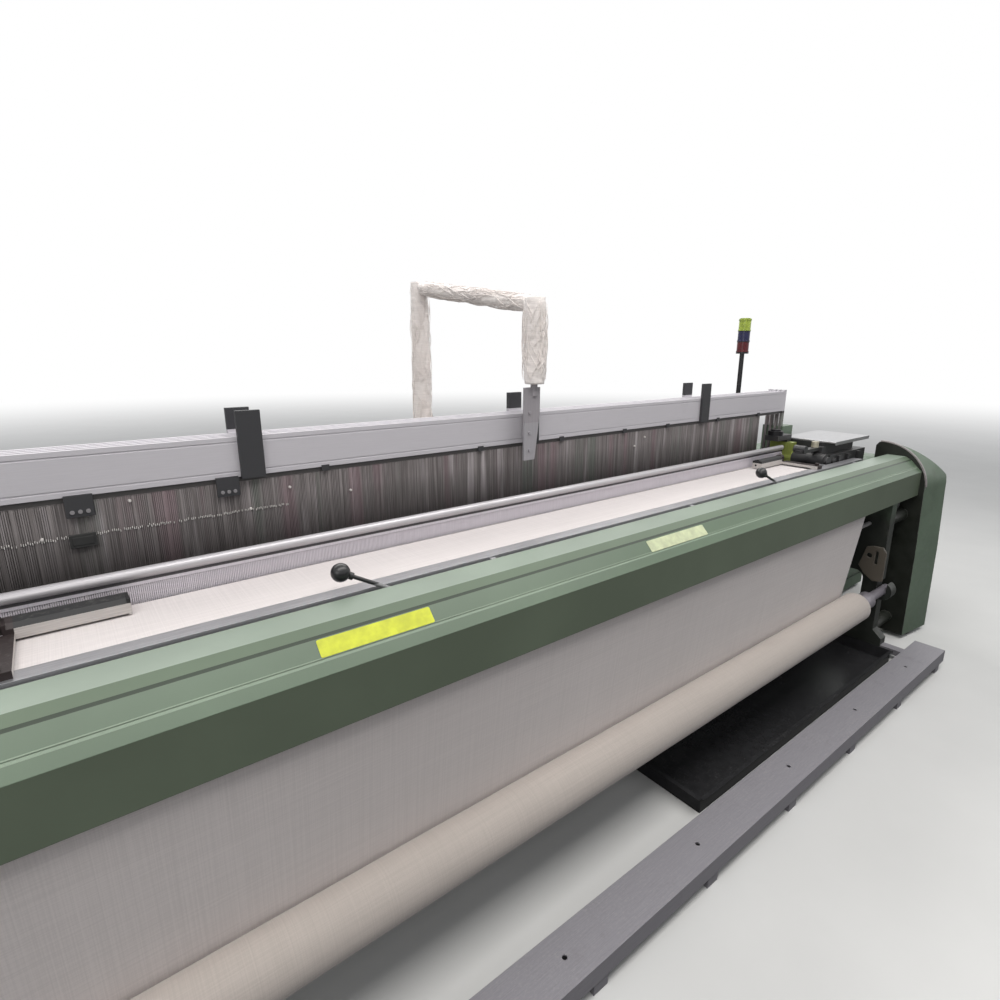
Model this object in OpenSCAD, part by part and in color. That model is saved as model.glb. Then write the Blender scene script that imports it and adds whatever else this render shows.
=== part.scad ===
// Wide projectile weaving machine, seen from the cloth side.
// Origin on the floor under the middle of the machine. X runs along the machine, Y to the warp side, Z up.

/* [Widths along X] */
// Half of the woven width
cloth_half = 1585; // [1500:1:1620]
// How far the reed reaches past the cloth on each side
reed_over = 20; // [10:1:40]
// How far the heald frames reach past the cloth on each side
heald_over = 247; // [235:1:270]
// Room between a heald frame's end and the side frame
guide_space = 68; // [50:1:90]
// Thickness of each cast side frame
frame_t = 60; // [45:1:75]
// Room between a side frame and the end cheek
cheek_gap = 230; // [220:1:260]
// Width of the end cheek at its shoulder
cheek_w = 235; // [200:1:260]
// Radius of the end cheek's rounded shoulder
cheek_r = 225; // [210:1:235]
// Turn of the end cheek's front face to the outside
cheek_turn = 7; // [4:0.5:9]
// Height of the shoulder's outer corner
cheek_corner = 905; // [890:1:940]
// How far the shedding box stands out past the right cheek gap
shed_box_w = 570; // [480:1:620]

/* [Frame] */
// Height of a levelling pad
pad_h = 25; // [15:1:35]
// Diameter of a levelling pad
pad_d = 120; // [90:1:150]
// Front edge of the side frames' feet
frame_front = -1000; // [-1005:1:-990]
// Rear edge of the side frames' feet
frame_back = 1000; // [980:1:1040]
// Top of the side frames between the sley and the whip roll
frame_top = 940; // [930:1:948]
// Front face of the cross girder
girder_y = -560; // [-580:1:-555]
// Depth of the cross girder
girder_d = 160; // [145:1:164]
// Underside of the cross girder
girder_z = 480; // [470:1:482]
// Height of the cross girder
girder_h = 160; // [150:1:160]
// Wall of the cross girder
girder_wall = 12; // [8:1:20]
// Diameter of the round cross ties
tie_d = 90; // [60:1:110]

/* [Front] */
// Front face of the long beam cover
cover_y = -963; // [-970:1:-960]
// Lower edge of the beam cover
cover_z = 815; // [800:1:830]
// Sheet thickness of the beam cover
cover_t = 5; // [3:0.5:7]
// Height of the cover's flat top
cover_top = 1011; // [1008:1:1016]
// Depth of the cover's slanted panel
cover_slant = 54; // [45:1:60]
// Depth of the bevel behind the slanted panel
cover_bevel = 29; // [20:1:36]
// Depth of the flat top
cover_flat = 87; // [80:1:92]
// Diameter of the take-up roller
takeup_d = 120; // [110:1:126]
// Place of the take-up roller from front to back
takeup_y = -846; // [-850:1:-843]
// Height of the take-up roller
takeup_z = 880; // [874:1:886]
// Diameter of the press roller
press_d = 44; // [36:1:46]
// Diameter of the wound cloth roll
roll_d = 140; // [120:1:170]
// Place of the cloth roll from front to back
roll_y = -963; // [-970:1:-955]
// Height of the cloth roll
roll_z = 350; // [330:1:370]
// Diameter of the cloth roll's core
core_d = 44; // [36:1:60]
// Thickness of the cloth sheet
cloth_t = 2.4; // [1.6:0.1:3]
// Underside of the cloth and of the warp at the fell
cloth_z = 1000; // [998:1:1003]
// Place of the fell, where cloth turns into warp
fell_y = -516; // [-517:1:-516]
// Place of the rod that turns the cloth down
rest_rod_y = -704; // [-706:1:-700]
// Diameter of the rod that turns the cloth down
rest_rod_d = 30; // [26:1:32]
// Width of the breast bar's top strip
bar_w = 44; // [38:1:46]
// Diameter of the start shaft
start_d = 14; // [12:1:16]
// Diameter of the ball knobs
knob_d = 45; // [38:1:50]
// Height of the ball knobs' centres
knob_z = 1056; // [1050:1:1080]
// Place of the left ball knob along the machine
knob_left = -885; // [-1100:1:-700]
// Place of the right ball knob along the machine
knob_right = 963; // [700:1:1100]
// How far each knob rod leans to the left
knob_lean = 120; // [40:1:130]
// How far each knob rod leans to the back
knob_back = 28; // [10:1:30]

/* [Step and tray] */
// Front face of the step rail
step_y = -1250; // [-1280:1:-1230]
// Depth of the step rail
step_d = 130; // [100:1:150]
// Top of the step rail
step_top = 100; // [90:1:120]
// Height of the step rail's section
step_h = 58; // [45:1:65]
// How far the step rail reaches past each side frame
step_over = 45; // [20:1:180]
// Length of the drip tray
tray_len = 1660; // [1200:1:1700]
// Depth of the drip tray
tray_d = 330; // [280:1:350]
// Height of the drip tray
tray_h = 62; // [40:1:90]

/* [Sley] */
// Place of the sley's rocking axis from front to back
sley_y = -440; // [-441:1:-440]
// Height of the sley's rocking axis
sley_z = 820; // [819:1:820]
// Diameter of the sley shaft
sley_d = 80; // [70:1:84]
// Angle between beat-up and the rear dwell of the sley
sley_angle = 22; // [20:1:23]
// Distance between reed dents
dent_pitch = 32; // [30:1:36]
// Width of a dent and of a heddle
dent_w = 6; // [4:0.5:7]
// Width of the warp's slots, which dents and heddles pass
slot_w = 12; // [10:0.5:14]
// Thickness of the reed's bottom baulk
reed_t = 12; // [10:1:14]
// Diameter of the reed's top cap
cap_d = 25; // [22:1:27]
// Height of the reed cap's centre
cap_z = 1069; // [1064:1:1072]
// Thickness of a guide tooth
tooth_t = 3; // [2:0.5:5]
// Length of the projectile
projectile_len = 90; // [80:1:100]

/* [Shedding] */
// Number of heald frames
frame_count = 4;
// Front face of the first heald frame
heald_y = -383; // [-384:1:-380]
// Distance between heald frames
heald_pitch = 26; // [24:1:28]
// Thickness of a heald frame
heald_t = 12; // [9:1:14]
// Underside of the upper heald stave
stave_z = 1234; // [1220:1:1250]
// Height of a heald stave
stave_h = 104; // [90:1:115]
// Underside of the lower heald stave
lower_stave_z = 662; // [655:1:680]
// How far a heald frame rises or sinks from the level shed
lift = 35; // [30:1:36]
// Radius of the lift levers' arms
lever_r = 100; // [95:1:105]
// Height of the lift levers' pivots
lever_z = 520; // [516:1:526]

/* [Warp side] */
// Diameter of the whip roll
whip_d = 120; // [100:1:130]
// Place of the whip roll from front to back
whip_y = 560; // [550:1:570]
// Place of the warp beam from front to back
beam_y = 870; // [862:1:880]
// Height of the warp beam
beam_z = 600; // [590:1:610]
// Diameter of the warp beam's flanges
flange_d = 760; // [720:1:770]
// Diameter of the wound warp
yarn_d = 660; // [560:1:700]
// Diameter of the main shaft
shaft_d = 50; // [44:1:56]
// Place of the main shaft from front to back
shaft_y = -460; // [-462:1:-458]
// Height of the main shaft
shaft_z = 690; // [688:1:692]
// Radius of the main drive pulley
pulley_r = 200; // [180:1:205]
// Radius of the motor pulley
motor_r = 70; // [60:1:85]

/* [Upper parts] */
// Place of the yarn gantry along the machine
gantry_x = -30; // [-35:1:-26]
// Place of the gantry's rear post
gantry_back = 323; // [310:1:335]
// Place of the gantry's front leg
gantry_front = -433; // [-440:1:-430]
// Height of the gantry's front end
gantry_top = 1700; // [1650:1:1760]
// Rise of the gantry bar from front to back
gantry_rise = 110; // [80:1:140]
// Thickness of the yarn wound round the gantry
wrap_d = 84; // [70:1:88]
// Height of the signal tower's top
tower_top = 1735; // [1650:1:1800]
// Height of the receiver's lid
lid_z = 1096; // [1094:1:1100]

/* [Left end] */
// Width of the control cabinet
cabinet_w = 380; // [340:1:400]
// Front face of the control cabinet
cabinet_y = 380; // [360:1:400]
// Depth of the control cabinet
cabinet_d = 460; // [400:1:480]
// Height of the control cabinet
cabinet_h = 1180; // [1000:1:1300]
// Height of the lower weft packages' axes
package_z = 970; // [940:1:1000]
// Height between the lower and the upper weft packages
package_rise = 420; // [400:1:460]
// Height of the weft feeders' axes
feeder_z = 1110; // [1100:1:1130]

/* [Hidden] */
$fn = 48;
run_gap = 0.1;
skin_gap = 0.3;
slide_gap = 0.4;
reed_half = cloth_half + reed_over;
heald_half = cloth_half + heald_over;
frame_in = heald_half + guide_space;
frame_out = frame_in + frame_t;
cheek_in = frame_out + cheek_gap;
cheek_out = cheek_in + cheek_w;
cheek_y = cover_y + 201;
cheek_z = 848;
step_half = frame_out + step_over;
shed_x = cheek_in + 140;
machine_end = shed_x + shed_box_w;
cover_c = cover_y + cover_slant;
cover_b = cover_c + cover_bevel;
cover_a = cover_b + cover_flat;
cover_knee = cover_top - 17;
cover_face = cover_knee - cover_slant;
bar_back = cover_a + 79;
bar_front = bar_back - bar_w - 1;
start_y = cover_a + 17;
start_z = cloth_z - 8;
rest_rod_z = cloth_z - skin_gap - rest_rod_d / 2;
whip_z = cloth_z - skin_gap - whip_d / 2;
press_y = takeup_y - takeup_d / 2 - 2 * skin_gap - cloth_t - press_d / 2;
reed_y = fell_y + 11;
dent_count = floor(2 * cloth_half / dent_pitch) + 1;
dent_x = [for (i = [0:dent_count - 1]) (i - (dent_count - 1) / 2) * dent_pitch];
pack_back = heald_y + (frame_count - 1) * heald_pitch + heald_t;
odd_pivots = [-heald_half + 682, heald_half - 782];
even_pivots = [-heald_half + 382, heald_half - 482];
lever_pin = 16;
gearbox_x = [for (k = [-1, -0.6, -0.2, 0.2, 0.6, 1]) k * (cloth_half - 105)];
sword_x = [for (x = gearbox_x, s = [-1, 1]) x + s * 90];
beam_top = 960;
post_seat = frame_top - 80 + tie_d / 2 + 4;
beam_front = reed_y - 25;
belt_x = frame_out + 70;
belt_w = 60;
gear_r = 235;
gear_tooth = 11;
worm_d = 56;
worm_y = beam_y - gear_r - gear_tooth - worm_d / 2 - 0.8;
motor_y = 200;
motor_z = 480;
receiver_in = reed_half + 50;
receiver_back = heald_y - 20;
front_tie = [-720, 125];
back_tie = [740, 110];
slim_tie = [-860, 690];
slim_tie_d = 20;
clutch = [takeup_y - 59, takeup_z - 85];
clutch_steps = [[18, 42, 84], [41, 74, 56], [73, 88, 30]];
temple_y = fell_y - 32;
temple_z = cloth_z + 19;
temple_in = cloth_half - 295;
temple_out = cloth_half - 95;
hinge_z = [140, cabinet_h - 140];
package_y = [-420, -140];
package_levels = [package_z, package_z + package_rise];
start_button_x = -cheek_in - 155;
stop_button_x = -cheek_in - 80;
button_y = -690;
button_top = 1112;
plate_x = [-960, 0, 1065];
screw_block_x = [-1338, -1025];
clip_x = [-1640, -764, -222, 154, 512, 799, 1190, 1560];
rod_odd_y = heald_y + 17;
rod_even_y = heald_y + 69;
green = [0.46, 0.56, 0.46];
light_green = [0.62, 0.7, 0.62];
dark_green = [0.26, 0.34, 0.27];
steel = [0.62, 0.62, 0.64];
alloy = [0.7, 0.69, 0.71];
dark = [0.2, 0.2, 0.2];
black = [0.08, 0.08, 0.09];
cream = [0.87, 0.84, 0.82];

// Points of an arc in the YZ plane, angles from +Y towards +Z
function arc(y, z, r, from, to, steps = 8) =
    [for (i = [0:steps]) let (a = from + (to - from) * i / steps) [y + r * cos(a), z + r * sin(a)]];
// Angle of the normal where a sheet leaves roll 1 for roll 2 on the same side
function outer_tangent(p, r1, q, r2, sign) =
    atan2(q[1] - p[1], q[0] - p[0]) + sign * acos((r1 - r2) / norm(q - p));
// Angle of the normal where a sheet crosses from roll 1 to the other side of roll 2
function inner_tangent(p, r1, q, r2, sign) =
    atan2(q[1] - p[1], q[0] - p[0]) + sign * acos((r1 + r2) / norm(q - p));
// Stations of a sheet on a roll: point and normal; side is -1 where the roll lies over the sheet's upper face
function wrap(c, r, from, to, side, steps) =
    [for (i = [0:steps]) let (a = from + (to - from) * i / steps)
        [c[0] + r * cos(a), c[1] + r * sin(a), side * cos(a), side * sin(a)]];
// A point given in the sley's rear dwell, turned to its place at beat-up
function beat_up(y, z) = [sley_y + y * cos(sley_angle) - z * sin(sley_angle),
    sley_z + y * sin(sley_angle) + z * cos(sley_angle)];

module span_x(x0, x1) {
    translate([x0, 0, 0]) rotate([90, 0, 90]) linear_extrude(x1 - x0) children();
}
module span_y(y0, y1) {
    translate([0, y1, 0]) rotate([90, 0, 0]) linear_extrude(y1 - y0) children();
}
module rod_x(x0, x1, y, z, d) {
    translate([x0, y, z]) rotate([0, 90, 0]) cylinder(h = x1 - x0, d = d);
}
module rod_y(x, y0, y1, z, d) {
    translate([x, y0, z]) rotate([-90, 0, 0]) cylinder(h = y1 - y0, d = d);
}
module rod_z(x, y, z0, z1, d) {
    translate([x, y, z0]) cylinder(h = z1 - z0, d = d);
}
module block(x, y, z) {
    translate([x[0], y[0], z[0]]) cube([x[1] - x[0], y[1] - y[0], z[1] - z[0]]);
}
module both_ends() {
    children();
    mirror([1, 0, 0]) children();
}
module round_rect(a, b, r) {
    translate([a[0] + r, b[0]]) square([a[1] - a[0] - 2 * r, b[1] - b[0]]);
    translate([a[0], b[0] + r]) square([a[1] - a[0], b[1] - b[0] - 2 * r]);
    for (p = [a[0] + r, a[1] - r], q = [b[0] + r, b[1] - r]) translate([p, q]) circle(r);
}
module bolt_circle_x(x, y, z, pcd, count, size, h) {
    for (i = [0:count - 1]) {
        a = 360 * (i + 0.5) / count;
        rod_x(x, x + h, y + pcd / 2 * cos(a), z + pcd / 2 * sin(a), size);
    }
}

// The cast side frame of the right end; the left one is its mirror image
module frame_outline() {
    polygon([[frame_front, pad_h], [frame_front, 90], [frame_front + 45, 130], [frame_front + 49, 700],
        [cover_y + cover_t + 7, cover_z + 90], [cover_y + cover_t + 60, cloth_z - 40],
        [cover_a - 12, cloth_z - 40], [cover_a + 30, frame_top], [whip_y - 90, frame_top],
        [whip_y - 62, whip_z + 58], [whip_y + 62, whip_z + 58], [whip_y + 100, 880],
        [beam_y - 90, beam_z + 100],
        [beam_y + 100, beam_z + 90], [frame_back, beam_z + 20], [frame_back - 40, beam_z - 100],
        [frame_back - 40, 130], [frame_back, 90], [frame_back, pad_h]]);
    translate([roll_y, roll_z]) circle(core_d / 2 + 26);
    translate([roll_y, roll_z - core_d / 2 - 26]) square([60, core_d + 52]);
}
module frame_windows() {
    round_rect([-870, -600], [190, 430], 40);
    round_rect([-400, 120], [150, 600], 50);
    round_rect([-340, 120], [680, 860], 40);
    round_rect([200, 700], [150, 470], 50);
    round_rect([200, 640], [550, 790], 50);
}
module heald_guide_block() {
    difference() {
        block([heald_half - 18, frame_in + 1], [heald_y - 13, pack_back + 13], [850, 1150]);
        for (i = [0:frame_count - 1])
            block([heald_half - 19, heald_half + 1],
                [heald_y + i * heald_pitch - slide_gap, heald_y + i * heald_pitch + heald_t + slide_gap],
                [849, 1151]);
    }
    block([frame_in - 14, frame_in + 20], [heald_y - 13, pack_back + 13], [frame_top - 60, 1150]);
}
// The slotted arm beside the cloth roll, on the inner face of the side frame
module roll_arm() {
    span_x(frame_in - 30, frame_in - 20) difference() {
        translate([roll_y, roll_z]) polygon([[113, 120], [87, 225], [58, 235], [13, 235], [-5, 210], [-5, 60],
            [38, 50], [83, 80]]);
        translate([roll_y, roll_z]) round_rect([29, 43], [140, 212], 6.5);
        translate([roll_y + 70, roll_z + 182]) circle(13);
    }
    block([frame_in - 21, frame_in + 1], [roll_y + 18, roll_y + 73], [roll_z + 75, roll_z + 120]);
}
module side_frame() {
    roll_arm();
    for (s = clutch_steps) rod_x(frame_out + s[0] - 19, frame_out + s[1], clutch[0], clutch[1], s[2]);
    difference() {
        union() {
            span_x(frame_in, frame_out) difference() {
                frame_outline();
                frame_windows();
            }
            heald_guide_block();
            block([frame_in, frame_out], [cover_b + 4, cover_a - 20], [cloth_z - 60, cover_top - cover_t]);
            rod_x(frame_out - 1, frame_out + 28, shaft_y, shaft_z, 170);
            bolt_circle_x(frame_out + 27, shaft_y, shaft_z, 136, 6, 18, 12);
            rod_x(frame_out - 1, frame_out + 24, beam_y, beam_z, 200);
            bolt_circle_x(frame_out + 23, beam_y, beam_z, 160, 6, 18, 12);
            rod_x(frame_out - 1, frame_out + 18, whip_y, whip_z, 108);
            bolt_circle_x(frame_out + 17, whip_y, whip_z, 84, 4, 14, 10);
            rod_x(frame_in - 14, frame_in + 1, takeup_y, takeup_z, 100);
            for (y = [-500, 155])
                block([frame_out - 1, frame_out + 22], [y, y + 26], [110, 640]);
            block([frame_out - 1, frame_out + 22], [frame_front + 150, frame_back - 100], [116, 142]);
        }
        rod_x(frame_in - 20, frame_out + 50, shaft_y, shaft_z, shaft_d + 2 * run_gap);
        rod_x(frame_in - 20, frame_out + 50, sley_y, sley_z, 40 + 2 * run_gap);
        rod_x(frame_in - 20, frame_out + 50, beam_y, beam_z, 60 + 2 * run_gap);
        rod_x(frame_in - 20, frame_out + 50, whip_y, whip_z, 40 + 2 * run_gap);
        rod_x(frame_in - 20, frame_out + 50, takeup_y, takeup_z, 40 + 2 * run_gap);
        rod_x(frame_in - 20, frame_out + 50, press_y, takeup_z, 20 + 2 * run_gap);
        rod_x(frame_in - 20, frame_out + 50, roll_y, roll_z, core_d + 2 * run_gap);
        block([frame_in - 1, frame_out + 1], [roll_y - core_d / 2 - run_gap, roll_y + core_d / 2 + run_gap],
            [roll_z, roll_z + core_d / 2 + 30]);
    }
}
module side_frame_right() { color(green) side_frame(); }
module side_frame_left() { color(green) mirror([1, 0, 0]) side_frame(); }

module cross_girder() {
    color(dark_green) {
        difference() {
            block([-frame_in, frame_in], [girder_y, girder_y + girder_d], [girder_z, girder_z + girder_h]);
            block([-frame_in + 20, frame_in - 20], [girder_y + girder_wall,
                girder_y + girder_d - girder_wall],
                [girder_z + girder_wall, girder_z + girder_h - girder_wall]);
        }
        for (x = concat(odd_pivots, even_pivots)) {
            rod_y(x, girder_y + girder_d - 1, girder_y + girder_d + 4, lever_z, 60);
            rod_y(x, girder_y + girder_d, pack_back + 22, lever_z, 30);
        }
    }
}
module cross_ties() {
    color(green) {
        rod_x(-frame_in, frame_in, gantry_back, frame_top - 80, tie_d);
        rod_x(-frame_in, frame_in, back_tie[0], back_tie[1], tie_d);
        rod_x(-frame_in, frame_in, front_tie[0], front_tie[1], tie_d);
        rod_x(-frame_in, frame_in, slim_tie[0], slim_tie[1], slim_tie_d);
        block([gantry_x - 36, gantry_x + 36], [gantry_back - 36, gantry_back + 36],
            [post_seat - 60, post_seat]);
        both_ends() for (p = [[gantry_back, frame_top - 80], back_tie, front_tie])
            rod_x(frame_in - 16, frame_in, p[0], p[1], tie_d + 40);
    }
}
module pad(x, y) {
    rod_z(x, y, 0, pad_h * 0.6, pad_d);
    rod_z(x, y, pad_h * 0.6 - 1, pad_h, pad_d * 0.5);
}
module levelling_feet() {
    color(dark) {
        both_ends() {
            for (y = [frame_front + 90, 0, frame_back - 90]) pad((frame_in + frame_out) / 2, y);
            pad(cheek_in + 120, frame_front + 55);
        }
        for (y = [-460, 160]) pad(machine_end - 90, y);
        for (y = [-480, -80]) pad(-machine_end + 140, y);
        for (y = [460, 760]) pad(-machine_end + 140, y);
    }
}

// The long bent cover over the take-up roller, open below for the cloth
module front_cover() {
    t = cover_t;
    color(light_green) difference() {
        union() {
            span_x(-cheek_in, cheek_in) polygon([[cover_y, cover_z], [cover_y, cover_face],
                [cover_c, cover_knee],
                [cover_b, cover_top], [cover_a, cover_top], [cover_a, start_z - 18],
                [start_y + 4, start_z - 12], [start_y + 4, start_z - 14.8], [cover_a - t, start_z - 22],
                [cover_a - t, cover_top - t], [cover_b + 0.3 * t, cover_top - t],
                [cover_c + 0.6 * t, cover_knee - 0.85 * t], [cover_y + t, cover_face - 0.4 * t],
                [cover_y + t, cover_z + t], [cover_y + t + 4, cover_z + t], [cover_y + t + 4, cover_z]]);
            both_ends() for (i = [0:3]) let (x = i * (cheek_in - 140) / 3)
                span_x(x, x + 6) polygon([[cover_y + t - 1, cover_face - 20], [cover_y + t - 1, cover_face],
                    [cover_c, cover_knee - 2], [cover_c + 6, cover_knee - 8],
                    [cover_y + 16, cover_face - 20]]);
        }
        span_x(-cheek_in - 1, cheek_in + 1) translate([cover_y + 0.42 * cover_slant,
            cover_face + 0.42 * cover_slant])
            rotate(45) square([4, 3], center = true);
    }
}
// The breast bar's strip and the round rod below it that turns the cloth down
module breast_bar() {
    color(steel) {
        span_x(-frame_out, frame_out) polygon([[bar_front, cloth_z - 15], [bar_front, cloth_z + 5],
            [bar_back - 2, cloth_z + 5], [bar_back, cloth_z + 4], [bar_back, cloth_z + 3],
            [bar_front + 5, cloth_z + 3], [bar_front + 5, cloth_z - 15]]);
        rod_x(-cloth_half - 60, cloth_half + 60, rest_rod_y, rest_rod_z, rest_rod_d);
        both_ends() {
            block([cloth_half + 45, cloth_half + 65], [bar_front, rest_rod_y + 20],
                [rest_rod_z - rest_rod_d / 2 - 6, cloth_z + 4]);
            block([frame_in, frame_out], [bar_front, bar_back - 2], [frame_top, cloth_z + 4]);
            for (x = [450, frame_in - 60]) difference() {
                block([x, x + 16], [start_y - 9, bar_front + 1], [start_z - 9, start_z + 9]);
                rod_x(x - 1, x + 17, start_y, start_z, start_d + 2 * run_gap);
            }
        }
    }
}
// The end cheek: a casting with a rounded shoulder that slopes outwards, a rim on its inner side and a leg
module end_cheek() {
    side = concat([[frame_front - 8, pad_h], [frame_front, 500]], arc(cheek_y, cheek_z, cheek_r, 180, 90, 24),
        [[cheek_y + 14, cheek_z + cheek_r], [cheek_y + 28, cheek_z + cheek_r - 20],
        [cheek_y + 28, cheek_z + 100],
        [cheek_y, cheek_z + 10], [cheek_y - 38, 700], [cheek_y - 98, 420], [cheek_y - 110, 90],
        [cheek_y - 110, pad_h]]);
    intersection() {
        translate([cheek_in, cheek_y - cheek_r, 0]) rotate([0, 0, -cheek_turn])
            translate([0, cheek_r - cheek_y, 0]) span_x(-80, cheek_w + 80) polygon(side);
        span_y(frame_front - 80, cheek_y + 80) polygon([[cheek_in, pad_h], [cheek_out + 16, pad_h],
            [cheek_out + 8, 500], [cheek_out, 800], [cheek_out, cheek_corner],
            [cheek_in + 26, cheek_z + cheek_r + 2],
            [cheek_in, cheek_z + cheek_r + 2]]);
    }
    span_x(cheek_in, cheek_in + 15) polygon(concat(arc(cheek_y, cheek_z, cheek_r + 7, 176, 90, 24),
        [[cheek_y + 10, cheek_z + cheek_r + 7], [cheek_y + 10, cheek_z + cheek_r - 12]],
        arc(cheek_y, cheek_z, cheek_r - 12, 90, 176, 24)));
    rod_x(frame_out, cheek_in + 1, cheek_y - 138, 700, 70);
    rod_x(frame_out, cheek_in + 1, frame_front + 85, 110, 60);
}
module end_cheek_right() { color(green) end_cheek(); }
module end_cheek_left() {
    color(green) {
        mirror([1, 0, 0]) end_cheek();
        difference() {
            block([start_button_x - 35, stop_button_x + 70], [cheek_y - 20, button_y + 50],
                [cheek_z + 40, button_top]);
            for (x = [start_button_x, stop_button_x])
                rod_z(x, button_y, button_top - 22, button_top + 8, 30 + 2 * slide_gap);
        }
    }
}

module step_rail() {
    bottom = step_top - step_h;
    color(steel) {
        difference() {
            block([-step_half, step_half], [step_y, step_y + step_d], [bottom, step_top]);
            block([-step_half + 4, step_half - 4], [step_y + 5, step_y + step_d - 5],
                [bottom - 1, step_top - 5]);
            for (i = [-3:3]) rod_z(i * step_half / 3.6, step_y + step_d / 2, step_top - 6, step_top + 1, 14);
        }
        for (i = [-4:4]) {
            x = i * (step_half - 60) / 4;
            block([x - 25, x + 25], [step_y + 5, step_y + step_d - 5], [0, bottom + 20]);
        }
        both_ends() block([frame_in + 5, frame_out - 5], [step_y + step_d - 10, frame_front],
            [pad_h + 2, bottom + 14]);
    }
}
// The black drip tray on the floor below the cloth roll
module floor_tray() {
    right = (frame_in + frame_out - pad_d) / 2 - skin_gap;
    back = frame_front + 20 + tray_d;
    color(black) {
        difference() {
            block([right - tray_len, right], [frame_front - 60, back], [0, tray_h]);
            block([right - tray_len + 4, right - 4], [frame_front - 56, back - 4], [4, tray_h + 1]);
        }
        block([right - tray_len - 14, right - tray_len + 1], [frame_front - 60, back], [tray_h - 4, tray_h]);
        block([right - tray_len, right], [frame_front - 72, frame_front - 59], [tray_h - 4, tray_h]);
    }
}

// Cloth from the fell over the rest rod, round the take-up roller's back, up through the nip with the press
// roller, over that and down to the back of the cloth roll
module cloth_sheet() {
    rod = [rest_rod_y, rest_rod_z];
    takeup = [takeup_y, takeup_z];
    press = [press_y, takeup_z];
    roll = [roll_y, roll_z];
    half_t = cloth_t / 2;
    r1 = rest_rod_d / 2 + skin_gap + half_t;
    r2 = takeup_d / 2 + skin_gap + half_t;
    r3 = press_d / 2 + skin_gap + half_t;
    r4 = roll_d / 2 + skin_gap + half_t;
    n1 = inner_tangent(rod, r1, takeup, r2, -1) + 360;
    n2 = inner_tangent(press, r3, roll, r4, -1) + 360;
    line = concat([[fell_y, cloth_z + half_t, 0, 1]], wrap(rod, r1, 90, n1, 1, 6),
        wrap(takeup, r2, n1 - 180, -180, -1, 20), wrap(press, r3, 0, n2, 1, 20),
        [[roll[0] - r4 * cos(n2), roll[1] - r4 * sin(n2), cos(n2), sin(n2)]]);
    over = [for (p = line) [p[0] + half_t * p[2], p[1] + half_t * p[3]]];
    under = [for (p = line) [p[0] - half_t * p[2], p[1] - half_t * p[3]]];
    color(cream) span_x(-cloth_half, cloth_half)
        polygon(concat(under, [for (i = [len(over) - 1:-1:0]) over[i]]));
}
// Warp from the fell through reed and healds, over the whip roll to the warp beam
module warp_sheet() {
    whip = [whip_y, whip_z];
    pack = [beam_y, beam_z];
    r1 = whip_d / 2 + skin_gap;
    r2 = yarn_d / 2 + skin_gap;
    a1 = outer_tangent(whip, r1, pack, r2, 1);
    t = cloth_t - 0.4;
    under = concat([[fell_y, cloth_z]], arc(whip[0], whip[1], r1, 90, a1, 4),
        arc(pack[0], pack[1], r2, a1, a1 - 1, 1));
    over = concat([[fell_y, cloth_z + t]], arc(whip[0], whip[1], r1 + t, 90, a1, 4),
        arc(pack[0], pack[1], r2 + t, a1, a1 - 1, 1));
    color(cream) difference() {
        span_x(-cloth_half, cloth_half) polygon(concat(under, [for (i = [len(over) - 1:-1:0]) over[i]]));
        for (x = dent_x)
            block([x - slot_w / 2, x + slot_w / 2], [fell_y + 1.5, pack_back + 16],
                [cloth_z - 1, cloth_z + 6]);
        rod_z(gantry_x, gantry_back, cloth_z - 20, cloth_z + 20, 44);
    }
}

module gearbox(x) {
    difference() {
        span_x(x - 60, x + 60) polygon([[girder_y + 10, girder_z + girder_h],
            [girder_y + 22, girder_z + girder_h + 90],
            [sley_y - 62, sley_z + 10], [sley_y - 42, sley_z + 38], [sley_y - 12, sley_z + 50],
            [sley_y + 20, sley_z + 50], [sley_y + 46, sley_z + 26], [sley_y + 46, girder_z + girder_h]]);
        rod_x(x - 61, x + 61, shaft_y, shaft_z, shaft_d + 2 * run_gap);
        rod_x(x - 61, x + 61, sley_y, sley_z, sley_d + 2 * run_gap);
    }
    difference() {
        rod_x(x - 68, x + 68, shaft_y, shaft_z, 96);
        rod_x(x - 69, x + 69, shaft_y, shaft_z, shaft_d + 2 * run_gap);
    }
    rod_y(x, girder_y + 2, girder_y + 60, girder_z + girder_h + 50, 60);
}
module sley_gearboxes() {
    color(green) for (x = gearbox_x) gearbox(x);
}
module temple(side) {
    mirror([side < 0 ? 1 : 0, 0, 0]) {
        span_x(temple_in, temple_out) translate([temple_y, temple_z]) polygon([[-28, -12], [-28, 11],
            [-20, 21], [-4, 27],
            [12, 23], [18, 15], [14, 12], [7, 18], [-4, 21], [-15, 17], [-21, 9], [-21, -12]]);
        for (x = [temple_in - 6, temple_out]) difference() {
            block([x, x + 6], [temple_y - 28, temple_y + 17], [temple_z - 15, temple_z + 21]);
            rod_x(x - 1, x + 7, temple_y, temple_z, 10 + 2 * run_gap);
        }
        block([temple_out - 12, temple_out + 36], [bar_back - 30, temple_y - 28],
            [cloth_z + 8, temple_z + 1]);
        block([temple_out - 12, temple_out + 36], [bar_back - 34, bar_back - 6], [cloth_z + 5, temple_z + 1]);
        rod_z(temple_out + 12, bar_back - 20, temple_z, temple_z + 13, 18);
        rod_x(temple_out + 6, temple_out + 30, temple_y, temple_z + 11, 36);
    }
}
module temple_housings() {
    color(steel) {
        temple(1);
        temple(-1);
    }
}
module temple_roller(side) {
    pitch = (temple_out - temple_in - 8) / 12;
    color(black) mirror([side < 0 ? 1 : 0, 0, 0]) {
        rod_x(temple_in - 6, temple_out + 5, temple_y, temple_z, 10);
        for (i = [0:11])
            rod_x(temple_in + 4 + i * pitch, temple_in + 3 + (i + 1) * pitch, temple_y, temple_z,
                24 + (i % 2) * 2);
    }
}
module temple_roller_left() { temple_roller(-1); }
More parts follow.
